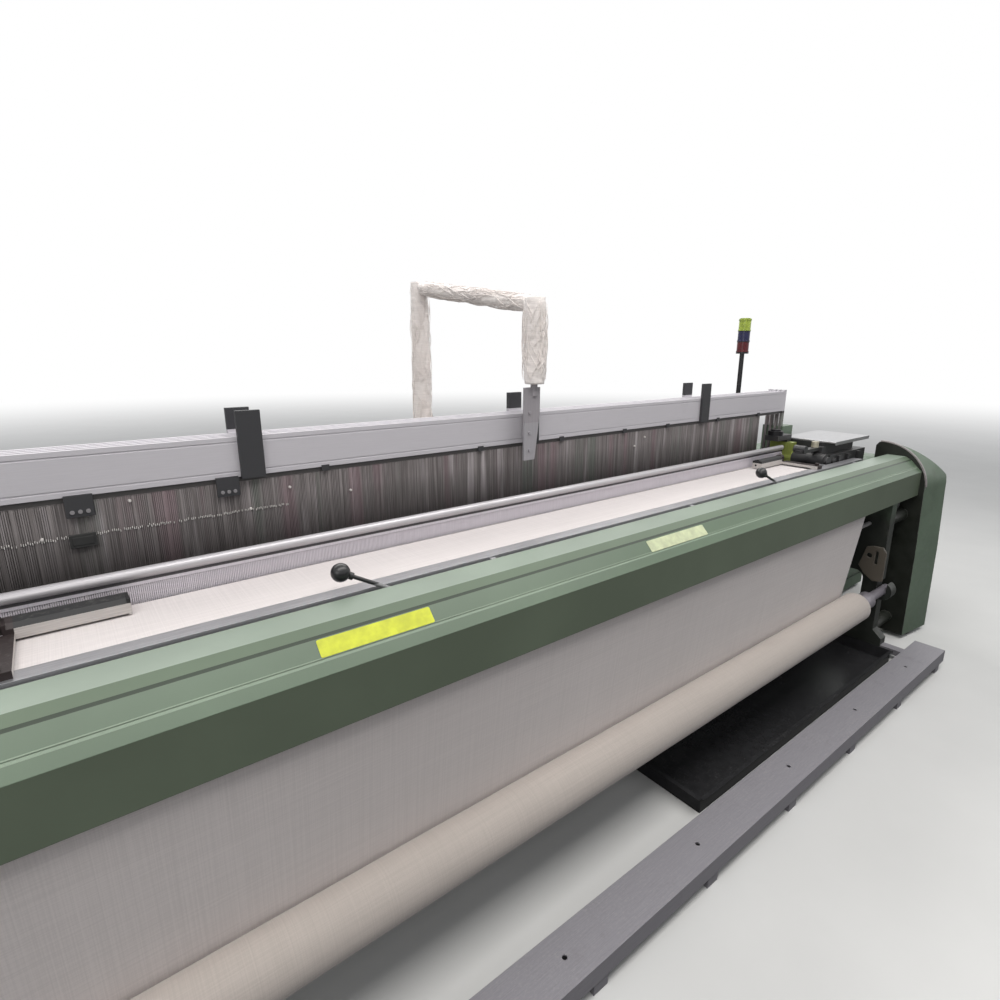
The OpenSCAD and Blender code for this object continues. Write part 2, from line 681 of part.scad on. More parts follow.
module temple_roller_right() { temple_roller(1); }

// The yarn gantry: a rear post through the warp, a bar forwards, a hanging front leg with its guide strip
module yarn_gantry() {
    slope = atan(gantry_rise / (gantry_back - gantry_front));
    color(alloy) {
        rod_z(gantry_x, gantry_back, post_seat, gantry_top + gantry_rise, 30);
        rod_z(gantry_x, gantry_back, post_seat, post_seat + 14, 66);
        translate([gantry_x, gantry_front, gantry_top]) rotate([slope, 0, 0])
            translate([-18, -22, -18]) cube([36, (gantry_back - gantry_front) / cos(slope) + 44, 36]);
        rod_z(gantry_x, gantry_front, 1400, gantry_top, 24);
        translate([gantry_x, gantry_front, 0]) {
            span_y(-5, 3) polygon([[-46, 1430], [24, 1430], [24, 1340], [2, 1180], [-46, 1180]]);
            for (z = [1215, 1275, 1345]) rod_y(-22, -9, -4, z, 12);
        }
    }
}
// Yarn wound round both posts up to the bar and, thinner, along the bar
module gantry_yarn() {
    slope = atan(gantry_rise / (gantry_back - gantry_front));
    bar = (gantry_back - gantry_front) / cos(slope);
    bar_top = gantry_top + gantry_rise;
    hole = 36 + 2 * skin_gap;
    color(cream) difference() {
        union() {
            rod_z(gantry_x, gantry_back, 1120, bar_top + 26, wrap_d);
            rod_z(gantry_x, gantry_back, 1300, 1360, wrap_d + 6);
            rod_z(gantry_x, gantry_front, gantry_top - 260, gantry_top + 26, wrap_d);
            rod_z(gantry_x, gantry_front, gantry_top - 180, gantry_top - 110, wrap_d + 4);
            translate([gantry_x, gantry_front, gantry_top]) rotate([slope - 90, 0, 0])
                cylinder(h = bar, d = wrap_d - 20);
        }
        rod_z(gantry_x, gantry_back, 1100, bar_top, 30 + 2 * skin_gap);
        rod_z(gantry_x, gantry_front, 1430, gantry_top, 24 + 2 * skin_gap);
        translate([gantry_x, gantry_front, gantry_top]) rotate([slope, 0, 0])
            translate([-hole / 2, -22 - skin_gap, -hole / 2]) cube([hole, bar + 44 + 2 * skin_gap, hole]);
    }
}
module signal_tower() {
    x = frame_in + frame_t / 2;
    color(dark) {
        rod_z(x, -43, frame_top, frame_top + 14, 90);
        rod_z(x, -43, frame_top + 13, tower_top - 190, 26);
        rod_z(x, -43, tower_top - 200, tower_top - 184, 70);
        for (i = [0:2]) {
            rod_z(x, -43, tower_top - 185 + i * 60, tower_top - 133 + i * 60, 66);
            rod_z(x, -43, tower_top - 134 + i * 60, tower_top - 124 + i * 60, 70);
        }
        rod_z(x, -43, tower_top - 5, tower_top, 58);
    }
}

// The receiving unit that brakes and returns the projectile
module receiver_unit() {
    x0 = receiver_in;
    x1 = cheek_in - 35;
    yb = receiver_back;
    color(dark) {
        block([x0, x1], [-700, yb - 10], [frame_top, 968]);
        block([x0 + 70, x1 - 10], [-695, yb - 30], [967, 1040]);
        block([x0 + 90, x1 - 60], [-650, yb - 60], [1039, lid_z + 1 - skin_gap]);
        rod_y(x0 + 40, -690, yb - 40, 1010, 76);
        rod_y(x0 + 40, -704, -688, 1010, 52);
        for (x = [x0 + 110, x0 + 190, x0 + 300]) rod_y(x, -704, -680, 1004, 40);
        for (x = [x0 + 150, x0 + 250, x0 + 380]) block([x, x + 26], [-708, -690], [975, 1032]);
        block([x0 - 90, x0 + 50], [-500, -430], [1102, 1128]);
        block([x0 + 10, x0 + 50], [-500, -430], [967, 1103]);
        block([x0 + 5, x0 + 50], [-530, yb - 10], [967, 1090]);
        rod_z(x0 - 50, -463, 1127, 1150, 74);
        rod_z(x0 - 50, -463, 1149, 1158, 50);
        block([x0 - 140, x0 + 80], [-650, -616], [1062, 1078]);
        rod_y(x0 - 110, -655, -600, 1080, 40);
        rod_z(x0 + 30, -633, 1077, 1107, 34);
        block([x0 + 50, x0 + 90], [-660, -606], [1030, 1078]);
        for (x = [x0 + 110, x1 - 70]) rod_x(x - 20, x + 20, yb - 18, lid_z - 2, 10);
        for (x = [x0 + 110, x1 - 70]) block([x - 20, x + 20], [yb - 31, yb - 14], [1030, lid_z - 6]);
    }
}
module receiver_lid() {
    x0 = receiver_in + 95;
    x1 = cheek_in - 35;
    yb = receiver_back;
    color(steel) difference() {
        union() {
            span_y(-704, yb - 32) polygon([[x0, lid_z + 1], [x0, lid_z + 7], [x0 + 3, lid_z + 10],
                [x1 - 3, lid_z + 10],
                [x1, lid_z + 7], [x1, lid_z + 1]]);
            block([x0 + 4, x1 - 4], [-704, -700], [lid_z - 7, lid_z + 2]);
            for (x = [receiver_in + 138, cheek_in - 133])
                rod_x(x - 7, x + 7, yb - 18, lid_z - 2, 16);
            for (x = [receiver_in + 138, cheek_in - 133])
                block([x - 7, x + 7], [yb - 33, yb - 18], [lid_z + 1, lid_z + 6]);
        }
        for (x = [receiver_in + 138, cheek_in - 133]) rod_x(x - 8, x + 8, yb - 18, lid_z - 2, 6);
    }
}
// The picking unit that fires the projectile from the left
module picking_unit() {
    x0 = -cheek_in + 35;
    x1 = -receiver_in;
    yb = receiver_back;
    color(green) {
        block([x0, x1], [-700, yb - 10], [frame_top, 975]);
        span_x(x0 + 60, x1 - 60) polygon([[-690, 974], [-690, 1060], [-660, 1110], [-600, 1130], [-500, 1130],
            [-440, 1100], [yb - 20, 1050], [yb - 20, 974]]);
        rod_x(x1 - 61, x1 - 10, -520, 1010, 60);
        rod_x(x0 + 20, x0 + 61, -560, 1050, 110);
        for (x = [x0 + 120, x0 + 300]) rod_z(x, -550, 1129, 1150, 60);
        rod_y(x0 + 220, -708, -689, 1020, 120);
        bolt_ring_y(x0 + 220, -714, 1020, 96, 6, 14, 8);
    }
}
module bolt_ring_y(x, y, z, pcd, count, size, h) {
    for (i = [0:count - 1]) {
        a = 360 * i / count;
        rod_y(x + pcd / 2 * cos(a), y, y + h, z + pcd / 2 * sin(a), size);
    }
}
// The cam box that moves the heald frames through pull rods
module shedding_box() {
    front = shaft_y - 100;
    back = 260;
    top = 900;
    color(green) {
        difference() {
            union() {
                span_x(shed_x, machine_end - 30) round_rect([front, back], [90, top], 60);
                span_x(machine_end - 31, machine_end - 12) round_rect([front + 40, back - 40],
                    [130, top - 40], 50);
                block([shed_x + 20, machine_end - 40], [front + 20, back - 20], [pad_h, 100]);
                for (y = [front + 40, back - 70]) block([frame_out, shed_x + 30], [y, y + 50],
                    [pad_h + 20, 110]);
            }
            for (y = [rod_odd_y, rod_even_y])
                block([shed_x - 1, shed_x + 130], [y - 8, y + 8],
                    [lever_z - lever_r - 18, lever_z - lever_r + 18]);
            rod_x(shed_x - 1, shed_x + 60, shaft_y, shaft_z, shaft_d + 2 * run_gap);
        }
        for (y = [-450, -300, -150, 0, 150])
            rod_x(machine_end - 13, machine_end, y, 500, 60);
        rod_z(shed_x + 150, 0, top - 1, top + 25, 90);
    }
}
module drive_motor() {
    color(dark_green) {
        rod_x(belt_x + belt_w + 30, shed_x - 20, motor_y, motor_z, 210);
        for (i = [0:7])
            rod_x(belt_x + belt_w + 45 + i * 19, belt_x + belt_w + 51 + i * 19, motor_y, motor_z, 236);
        rod_x(belt_x + belt_w + 20, belt_x + belt_w + 31, motor_y, motor_z, 236);
        block([belt_x + belt_w + 50, shed_x - 60], [motor_y - 60, motor_y + 60],
            [motor_z + 100, motor_z + 150]);
        block([belt_x + belt_w + 30, shed_x], [motor_y - 110, motor_y + 110], [motor_z - 150, motor_z - 96]);
        rod_x(frame_out + 2, belt_x + belt_w + 25, motor_y, motor_z, 28);
    }
}
module motor_pulley() {
    color(steel) difference() {
        union() {
            rod_x(belt_x, belt_x + belt_w, motor_y, motor_z, 2 * motor_r);
            for (x = [belt_x - 6, belt_x + belt_w - 2]) rod_x(x, x + 8, motor_y, motor_z, 2 * motor_r + 24);
        }
        rod_x(belt_x - 10, belt_x + belt_w + 10, motor_y, motor_z, 28 + 2 * run_gap);
    }
}
// The belt, a closed loop of two arcs and two straight runs
module drive_belt() {
    p = [shaft_y, shaft_z];
    q = [motor_y, motor_z];
    r1 = pulley_r + skin_gap;
    r2 = motor_r + skin_gap;
    t = 9;
    up = outer_tangent(p, r1, q, r2, 1);
    low = outer_tangent(p, r1, q, r2, -1);
    color(black) span_x(belt_x + 6, belt_x + belt_w - 6) difference() {
        polygon(concat(arc(p[0], p[1], r1 + t, up, low + 360, 48), arc(q[0], q[1], r2 + t, low, up, 32)));
        polygon(concat(arc(p[0], p[1], r1, up, low + 360, 48), arc(q[0], q[1], r2, low, up, 32)));
    }
}
module main_shaft() {
    color(steel) {
        rod_x(-frame_out - 24, shed_x + 50, shaft_y, shaft_z, shaft_d);
        difference() {
            union() {
                rod_x(belt_x, belt_x + belt_w, shaft_y, shaft_z, 2 * pulley_r);
                for (x = [belt_x - 6, belt_x + belt_w - 2]) rod_x(x, x + 8, shaft_y, shaft_z,
                    2 * pulley_r + 20);
            }
            for (i = [0:5]) rod_x(belt_x - 10, belt_x + belt_w + 10, shaft_y + 120 * cos(60 * i),
                shaft_z + 120 * sin(60 * i), 72);
        }
        for (x = gearbox_x, s = [-1, 1]) rod_x(x + s * 76 - 6, x + s * 76 + 6, shaft_y, shaft_z, 78);
    }
}
module handwheel() {
    x = cheek_in + 60;
    color(black) difference() {
        translate([x, shaft_y, shaft_z]) rotate([0, 90, 0]) {
            rotate_extrude() translate([118, 0]) circle(12);
            cylinder(h = 44, d = 84, center = true);
            for (i = [0:2]) rotate([0, 0, 120 * i]) translate([0, -9, -6]) cube([116, 18, 12]);
        }
        rod_x(x - 40, x + 40, shaft_y, shaft_z, shaft_d);
    }
}

module control_cabinet() {
    x0 = -machine_end;
    back = cabinet_y + cabinet_d;
    color(alloy) {
        difference() {
            block([x0 + 10, x0 + cabinet_w + 10], [cabinet_y, back], [pad_h, cabinet_h]);
            block([x0 + 34, x0 + cabinet_w - 14], [cabinet_y - 1, back - 30], [90, cabinet_h - 30]);
        }
        for (i = [0:2]) let (z = 160 + i * (cabinet_h - 380) / 2)
            block([x0 + 60, x0 + cabinet_w - 40], [back - 70, back - 29], [z, z + 120]);
        block([x0 + cabinet_w + 9, -frame_out], [cabinet_y + 220, cabinet_y + 280], [pad_h + 20, 110]);
        block([x0 + 80, x0 + cabinet_w - 60], [cabinet_y + 40, back - 60], [cabinet_h - 1, cabinet_h + 10]);
        for (z = hinge_z) {
            rod_z(x0 + 18, cabinet_y - 10, z, z + 60, 14);
            block([x0 + 11, x0 + 25], [cabinet_y - 10, cabinet_y + 1], [z, z + 60]);
        }
    }
}
module cabinet_door() {
    x0 = -machine_end;
    grip = [x0 + cabinet_w - 50, cabinet_h / 2 - 30];
    color(alloy) {
        difference() {
            block([x0 + 30, x0 + cabinet_w + 8], [cabinet_y - 18, cabinet_y - 0.5], [70, cabinet_h - 10]);
            block([grip[0], grip[0] + 22], [cabinet_y - 25, cabinet_y - 14], [grip[1], grip[1] + 120]);
        }
        block([grip[0] + 2, grip[0] + 20], [cabinet_y - 32, cabinet_y - 13], [grip[1] + 20, grip[1] + 100]);
        for (z = hinge_z) {
            rod_z(x0 + 18, cabinet_y - 10, z + 60.5, z + 90, 16);
            block([x0 + 18, x0 + 31], [cabinet_y - 16, cabinet_y - 4], [z + 60.5, z + 90]);
        }
    }
}
// The stand that carries the weft packages, left of the machine
module weft_creel() {
    x0 = -machine_end;
    color(green) {
        block([x0, x0 + 420], [-500, -460], [pad_h, 65]);
        block([x0, x0 + 420], [-100, -60], [pad_h, 65]);
        block([x0 + 120, x0 + 160], [-461, -99], [pad_h, 65]);
        rod_z(x0 + 140, -280, 64, package_levels[1] - 130, 50);
        for (z = package_levels) block([x0 + 110, x0 + 232], [-520, -40], [z - 150, z - 120]);
        for (y = package_y, z = package_levels) {
            rod_z(x0 + 222, y, z - 130, z + 12, 16);
            rod_x(x0 + 40, x0 + 230, y, z, 24);
        }
        block([x0 + 420, -frame_out], [-320, -260], [pad_h + 4, 85]);
        block([x0 + 150, x0 + 421], [-320, -260], [pad_h + 4, 64]);
        block([x0 + 480, x0 + 520], [-320, -260], [84, feeder_z - 110]);
        block([x0 + 470, x0 + 530], [-500, -80], [feeder_z - 111, feeder_z - 95]);
    }
}
module weft_packages() {
    x0 = -machine_end;
    color(cream) for (y = package_y, z = package_levels)
        translate([x0 + 30, y, z]) rotate([0, 90, 0]) difference() {
            union() {
                cylinder(h = 12, d1 = 180, d2 = 206);
                translate([0, 0, 12]) cylinder(h = 138, d1 = 206, d2 = 168);
                translate([0, 0, 150]) cylinder(h = 12, d1 = 168, d2 = 140);
            }
            translate([0, 0, -1]) cylinder(h = 170, d = 24 + 2 * skin_gap);
        }
}
module weft_feeders() {
    x0 = -machine_end + 440;
    color(dark) for (y = [-400, -180]) {
        rod_x(x0, x0 + 120, y, feeder_z, 120);
        rod_x(x0 + 119, x0 + 190, y, feeder_z, 96);
        rod_x(x0 + 189, x0 + 205, y, feeder_z, 60);
        block([x0 + 20, x0 + 210], [y - 14, y + 14], [feeder_z + 70, feeder_z + 90]);
        block([x0 + 20, x0 + 60], [y - 14, y + 14], [feeder_z + 50, feeder_z + 71]);
        block([x0 + 196, x0 + 210], [y - 14, y + 14], [feeder_z - 10, feeder_z + 71]);
        block([x0 + 40, x0 + 90], [y - 25, y + 25], [feeder_z - 95, feeder_z - 50]);
    }
}

// The warp stop motion: contact rails with rows of drop wires above and below the warp
module stop_motion() {
    rails = [30, 80, 130, 180];
    color(steel) {
        for (y = rails) {
            block([-cloth_half - 60, cloth_half + 60], [y - 3, y + 3], [cloth_z + 34, cloth_z + 60]);
            block([-cloth_half - 60, cloth_half + 60], [y - 3, y + 3], [cloth_z - 46, cloth_z - 26]);
            for (x = dent_x) {
                block([x - 4, x + 4], [y - 1.5, y + 1.5], [cloth_z + 6, cloth_z + 35]);
                block([x - 4, x + 4], [y - 1.5, y + 1.5], [cloth_z - 27, cloth_z - 5]);
            }
        }
        both_ends() {
            block([cloth_half + 60, cloth_half + 74], [0, 210], [cloth_z - 60, cloth_z + 70]);
            block([cloth_half + 73, frame_in], [80, 130], [cloth_z - 60, cloth_z - 40]);
            block([frame_in - 1, frame_in + 30], [80, 130], [frame_top, cloth_z - 40]);
        }
    }
}
// The let-off box on the right frame and the worm that turns the warp beam's gear
module letoff_unit() {
    color(green) {
        block([frame_in - 90, frame_in], [worm_y - 195, worm_y - 15], [300, 520]);
        rod_x(frame_in - 110, frame_in - 89, worm_y - 105, 410, 120);
        rod_z(frame_in - 140, worm_y, 500, 700, 20);
        rod_z(frame_in - 140, worm_y, 519, 681, worm_d);
        block([frame_in - 110, frame_in - 60], [worm_y - 27, worm_y + 27], [500, 700]);
        block([frame_in - 170, frame_in - 88], [worm_y - 27, worm_y + 27], [500, 519]);
        block([frame_in - 170, frame_in - 88], [worm_y - 27, worm_y + 27], [681, 700]);
    }
}

module sley_shaft() {
    color(steel) {
        rod_x(-frame_in + 40, frame_in - 40, sley_y, sley_z, sley_d);
        rod_x(-frame_out - 2, frame_out + 2, sley_y, sley_z, 40);
        for (x = sword_x) {
            span_x(x - 10, x + 10) union() {
                translate([sley_y, sley_z]) circle(50);
                polygon([[sley_y - 40, sley_z - 30], [beam_front + 4, beam_top - 45],
                    [beam_front + 46, beam_top - 45],
                    [sley_y + 38, sley_z + 30]]);
            }
        }
    }
}
module sley_beam() {
    color(alloy) span_x(-reed_half - 35, reed_half + 35) difference() {
        translate([beam_front, beam_top - 45]) square([50, 45]);
        translate([reed_y - reed_t / 2 - 0.5, beam_top - 18]) square([reed_t + 1, 19]);
        translate([beam_front + 6, beam_top - 40]) square([38, 17]);
    }
}
module reed() {
    color(alloy) {
        block([-reed_half, reed_half], [reed_y - reed_t / 2, reed_y + reed_t / 2],
            [beam_top - 18, cloth_z - 18]);
        for (x = dent_x)
            block([x - dent_w / 2, x + dent_w / 2], [reed_y - 2, reed_y + 2],
                [cloth_z - 19, cap_z - cap_d / 2 - 4]);
        both_ends() block([reed_half - 8, reed_half], [reed_y - 4, reed_y + 4], [cloth_z - 19, cap_z]);
        block([-reed_half, reed_half], [reed_y - 4, reed_y + 4],
            [cap_z - cap_d / 2 - 14, cap_z - cap_d / 2 + 3]);
        rod_x(-reed_half, reed_half, reed_y, cap_z, cap_d);
    }
}
// Hooked guide teeth that carry the projectile through the shed
module guide_teeth() {
    tooth = [[beam_front - 10, beam_top - 40], [beam_front, beam_top - 40], [beam_front, beam_top],
        beat_up(-12, 163), beat_up(-12, 169.5), beat_up(-30, 169.5), beat_up(-30, 179.5), beat_up(-14, 179.5),
        beat_up(-14, 186), beat_up(-35, 186), [beam_front - 10, beam_top - 10]];
    color(steel) {
        block([-cloth_half - 10, cloth_half + 10], [beam_front - 10, beam_front],
            [beam_top - 45, beam_top - 20]);
        for (x = dent_x) span_x(x - tooth_t / 2, x + tooth_t / 2) polygon(tooth);
    }
}
module projectile() {
    x0 = -cloth_half - 35;
    color(steel) {
        span_x(x0, x0 + projectile_len - 12) polygon([beat_up(-29, 171.3), beat_up(-27.5, 169.8),
            beat_up(-16.5, 169.8),
            beat_up(-15, 171.3), beat_up(-15, 176.5), beat_up(-16.5, 178), beat_up(-27.5, 178),
            beat_up(-29, 176.5)]);
        span_x(x0 + projectile_len - 13, x0 + projectile_len) polygon([beat_up(-26.5, 171.5),
            beat_up(-17.5, 171.5),
            beat_up(-17.5, 176.5), beat_up(-26.5, 176.5)]);
    }
}

// One heald frame: two staves, end stays, a field of heddles and the lifting rods
module heald_frame(i) {
    y = heald_y + i * heald_pitch;
    yc = y + heald_t / 2;
    pivots = i % 2 == 0 ? odd_pivots : even_pivots;
    color(alloy) {
        for (z = [stave_z, lower_stave_z])
            span_x(-heald_half + 20, heald_half - 20) difference() {
                translate([y, z]) square([heald_t, stave_h]);
                translate([y - 1, z + stave_h - 16]) square([2.5, 4]);
                translate([y - 1, z + 12]) square([2.5, 4]);
            }
        both_ends() block([heald_half - 25, heald_half], [y, y + heald_t],
            [lower_stave_z - 10, stave_z + stave_h + 8]);
        for (z = [stave_z - 14, lower_stave_z + stave_h])
            block([-heald_half + 24, heald_half - 24], [yc - 2, yc + 2], [z, z + 14]);
        for (x = dent_x)
            block([x - dent_w / 2, x + dent_w / 2], [yc - 1.5, yc + 1.5],
                [lower_stave_z + stave_h + 13, stave_z - 13]);
        for (p = pivots) {
            block([p + lever_r - 12, p + lever_r + 12], [yc - 4, yc + 4], [lever_z + 10, lower_stave_z + 1]);
            difference() {
                block([p + lever_r - 25, p + lever_r + 19], [yc - 4, yc + 4], [lever_z - 19, lever_z + 19]);
                block([p + lever_r - 16, p + lever_r + 10], [yc - 5, yc + 5], [lever_z - 9, lever_z + 9]);
            }
        }
        if (i == 0) heald_clips(y, -1);
        if (i == frame_count - 1) heald_clips(y + heald_t, 1);
    }
}
// Clips, screw blocks and tall spacer plates on one face of the upper stave; out is -1 for a front face
module heald_clips(face, out) {
    function away(a, b) = out < 0 ? [face - b, face - a] : [face + a, face + b];
    for (x = clip_x) block([x - 11, x + 11], away(-1, 3), [stave_z - 12, stave_z + 5]);
    for (x = screw_block_x) {
        block([x - 27, x + 27], away(-6, 8), [stave_z - 46, stave_z + 4]);
        for (k = [-1:1]) rod_y(x + 15 * k, away(7, 11)[0], away(7, 11)[1], stave_z - 34, 9);
    }
    for (x = plate_x) block([x - 30, x + 30], away(-1, 12), [stave_z - 5, stave_z + stave_h + 66]);
}
module heald_frame_1() { heald_frame(0); }
module heald_frame_2() { heald_frame(1); }
module heald_frame_3() { heald_frame(2); }
module heald_frame_4() { heald_frame(3); }

// A lift lever: a hub on its pivot, one arm for each of its two heald frames and one arm for the pull rod
module arm(l, r1, r2) {
    circle(r1);
    translate([l, 0]) circle(r2);
    polygon([[0, -r1 * 0.85], [l, -r2 * 0.9], [l, r2 * 0.9], [0, r1 * 0.85]]);
}
module lift_lever(pivot, first, rod_y) {
    y0 = girder_y + girder_d + 4 + slide_gap;
    color(steel) translate([pivot, 0, lever_z]) difference() {
        union() {
            rod_y(0, y0, pack_back + 12, 0, 54);
            for (i = [first, first + 2]) {
                yc = heald_y + i * heald_pitch + heald_t / 2;
                span_y(yc + 5, yc + 11) arm(lever_r, 27, 13);
                rod_y(lever_r, yc - 5, yc + 6, 0, lever_pin);
            }
            span_y(rod_y + 9, rod_y + 15) rotate(-90) arm(lever_r, 27, 13);
            rod_y(0, rod_y - 7, rod_y + 10, -lever_r, lever_pin);
        }
        rod_y(0, y0 - 1, pack_back + 13, 0, 30 + 2 * run_gap);
    }
}
module lever_odd_left() { lift_lever(odd_pivots[0], 0, rod_odd_y); }
module lever_odd_right() { lift_lever(odd_pivots[1], 0, rod_odd_y); }
module lever_even_left() { lift_lever(even_pivots[0], 1, rod_even_y); }
module lever_even_right() { lift_lever(even_pivots[1], 1, rod_even_y); }
module pull_rod(pivots, y) {
    z = lever_z - lever_r;
    color(steel) difference() {
        union() {
            block([pivots[0] - 30, shed_x + 60], [y - 6, y + 6], [z - 12, z + 12]);
            for (p = pivots) block([p - 26, p + 26], [y - 6, y + 6], [z - 20, z + 26]);
        }
        for (p = pivots) block([p - 8.8, p + 8.8], [y - 7, y + 7], [z - 10, z + 16]);
    }
}
module pull_rod_odd() { pull_rod(odd_pivots, rod_odd_y); }
module pull_rod_even() { pull_rod(even_pivots, rod_even_y); }

module takeup_roller() {
    color(dark) {
        rod_x(-cloth_half - 40, cloth_half + 40, takeup_y, takeup_z, takeup_d);
        rod_x(-frame_out - 1, frame_out + 1, takeup_y, takeup_z, 40);
    }
}
module press_roller() {
    color(steel) {
        rod_x(-cloth_half - 30, cloth_half + 30, press_y, takeup_z, press_d);
        rod_x(-frame_out - 1, frame_out + 1, press_y, takeup_z, 20);
    }
}
module cloth_roll() {
    color(cream) {
        rod_x(-cloth_half - 6, cloth_half + 6, roll_y, roll_z, roll_d);
        rod_x(-frame_out - 8, frame_out + 8, roll_y, roll_z, core_d);
        both_ends() rod_x(cloth_half + 5, cloth_half + 135, roll_y, roll_z, core_d + 40);
    }
}
module warp_beam() {
    gear_x = frame_in - 160;
    color(alloy) {
        rod_x(-cloth_half - 50, cloth_half + 50, beam_y, beam_z, 150);
        rod_x(-frame_out - 10, frame_out + 10, beam_y, beam_z, 60);
        both_ends() difference() {
            union() {
                rod_x(cloth_half + 32, cloth_half + 44, beam_y, beam_z, flange_d);
                rod_x(cloth_half + 43, cloth_half + 70, beam_y, beam_z, 260);
                for (a = [0:7]) translate([cloth_half + 43, beam_y, beam_z]) rotate([45 * a, 0, 0])
                    translate([0, 120, -7]) cube([12, flange_d / 2 - 140, 14]);
            }
            for (a = [0:7]) rod_x(cloth_half + 20, cloth_half + 60, beam_y + 250 * cos(45 * a + 22.5),
                beam_z + 250 * sin(45 * a + 22.5), 70);
        }
        span_x(gear_x + 6, gear_x + 34) translate([beam_y, beam_z]) gear(gear_r, 72, gear_tooth);
    }
}
// A plain spur outline: a disc with square-cut teeth round its rim
module gear(r, teeth, depth) {
    polygon([for (i = [0:teeth - 1], k = [0:3])
        let (a = 360 * (i + [0, 0.18, 0.5, 0.68][k]) / teeth, q = (k == 1 || k == 2) ? r + depth : r)
        [q * cos(a), q * sin(a)]]);
}
module warp_yarn() {
    color(cream) difference() {
        rod_x(-cloth_half - 30, cloth_half + 30, beam_y, beam_z, yarn_d);
        rod_x(-cloth_half - 31, cloth_half + 31, beam_y, beam_z, 150 + 2 * skin_gap);
    }
}
module whip_roll() {
    color(steel) {
        rod_x(-cloth_half - 25, cloth_half + 25, whip_y, whip_z, whip_d);
        rod_x(-frame_out - 1, frame_out + 1, whip_y, whip_z, 40);
    }
}
module knob(x) {
    d = knob_z - start_z;
    length = norm([knob_lean, knob_back, d]);
    translate([x + knob_lean, start_y, start_z]) rotate([0, acos(d / length), atan2(knob_back, -knob_lean)]) {
        cylinder(h = length, d = 10);
        translate([0, 0, length]) sphere(d = knob_d);
        translate([0, 0, length - knob_d / 2 - 8]) cylinder(h = 14, d = 18);
    }
    rod_x(x + knob_lean - 14, x + knob_lean + 14, start_y, start_z, start_d + 6);
}
module start_shaft() {
    color(black) {
        rod_x(-frame_in + 2, frame_in - 2, start_y, start_z, start_d);
        knob(knob_left);
        knob(knob_right);
    }
}
module push_button(x) {
    rod_z(x, button_y, button_top - 15, button_top + 12, 30);
    rod_z(x, button_y, button_top + 5, button_top + 14, 38);
}
module start_button() { color("darkgreen") push_button(start_button_x); }
module stop_button() { color("firebrick") push_button(stop_button_x); }

side_frame_left();
side_frame_right();
cross_girder();
cross_ties();
levelling_feet();
front_cover();
breast_bar();
end_cheek_left();
end_cheek_right();
step_rail();
floor_tray();
cloth_sheet();
warp_sheet();
sley_gearboxes();
temple_housings();
yarn_gantry();
gantry_yarn();
signal_tower();
receiver_unit();
picking_unit();
shedding_box();
drive_motor();
drive_belt();
control_cabinet();
weft_creel();
weft_packages();
weft_feeders();
stop_motion();
letoff_unit();
sley_shaft();
sley_beam();
reed();
guide_teeth();
projectile();
main_shaft();
handwheel();
motor_pulley();
heald_frame_1();
heald_frame_2();
heald_frame_3();
heald_frame_4();
lever_odd_left();
lever_odd_right();
lever_even_left();
lever_even_right();
pull_rod_odd();
pull_rod_even();
takeup_roller();
press_roller();
cloth_roll();
warp_beam();
warp_yarn();
whip_roll();
start_shaft();
receiver_lid();
cabinet_door();
start_button();
stop_button();
temple_roller_left();
temple_roller_right();
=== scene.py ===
"""Looks of the wide weaving machine: materials, cloth, yarn, fine reed and heddles, and small fittings.

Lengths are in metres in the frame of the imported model. Places come from the nodes' boxes.
"""

import math

import bpy
import numpy as np
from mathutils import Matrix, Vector, noise


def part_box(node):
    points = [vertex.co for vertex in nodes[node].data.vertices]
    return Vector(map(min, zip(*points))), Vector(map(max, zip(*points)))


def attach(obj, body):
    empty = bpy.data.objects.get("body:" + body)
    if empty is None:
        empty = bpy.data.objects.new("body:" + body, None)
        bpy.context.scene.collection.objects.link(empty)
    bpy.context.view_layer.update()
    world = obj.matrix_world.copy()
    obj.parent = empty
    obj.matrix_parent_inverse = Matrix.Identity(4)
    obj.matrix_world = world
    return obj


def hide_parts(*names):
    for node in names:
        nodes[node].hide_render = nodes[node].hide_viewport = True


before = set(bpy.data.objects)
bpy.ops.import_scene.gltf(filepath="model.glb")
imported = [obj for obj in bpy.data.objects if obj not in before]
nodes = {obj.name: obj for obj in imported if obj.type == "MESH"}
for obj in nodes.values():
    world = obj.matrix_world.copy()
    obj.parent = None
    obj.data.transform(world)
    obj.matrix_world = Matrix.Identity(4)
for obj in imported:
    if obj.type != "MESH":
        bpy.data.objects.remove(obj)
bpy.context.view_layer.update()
MM = 0.001

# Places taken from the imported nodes
cloth_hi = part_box("cloth_sheet")[1]
cover_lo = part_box("front_cover")[0]
reed_lo, reed_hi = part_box("reed")
bar_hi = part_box("breast_bar")[1]
heald_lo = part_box("heald_frame_1")[0]
last_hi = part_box("heald_frame_4")[1]

CLOTH_RISE = 2.4 * MM
CLOTH_Z = cloth_hi.z - CLOTH_RISE
HALF = cloth_hi.x
FELL_Y = cloth_hi.y

# The solid reed's dents stand 32 mm apart. Here each of the 99 cells gets eight fine dents and seven yarns.
CELL = 32 * MM
CELLS = 99
DENTS = 8
DENT_PITCH_MM = 4
YARN_OFFSETS = [DENT_PITCH_MM * k * MM for k in range(1, DENTS)]
GAP_OFFSETS = [0.0] + [(DENT_PITCH_MM * k + 2) * MM for k in range(1, DENTS - 1)]
EVEN_OFFSETS = [DENT_PITCH_MM * k * MM for k in range(DENTS)]
BETWEEN_OFFSETS = [(DENT_PITCH_MM * k + 2) * MM for k in range(DENTS)]

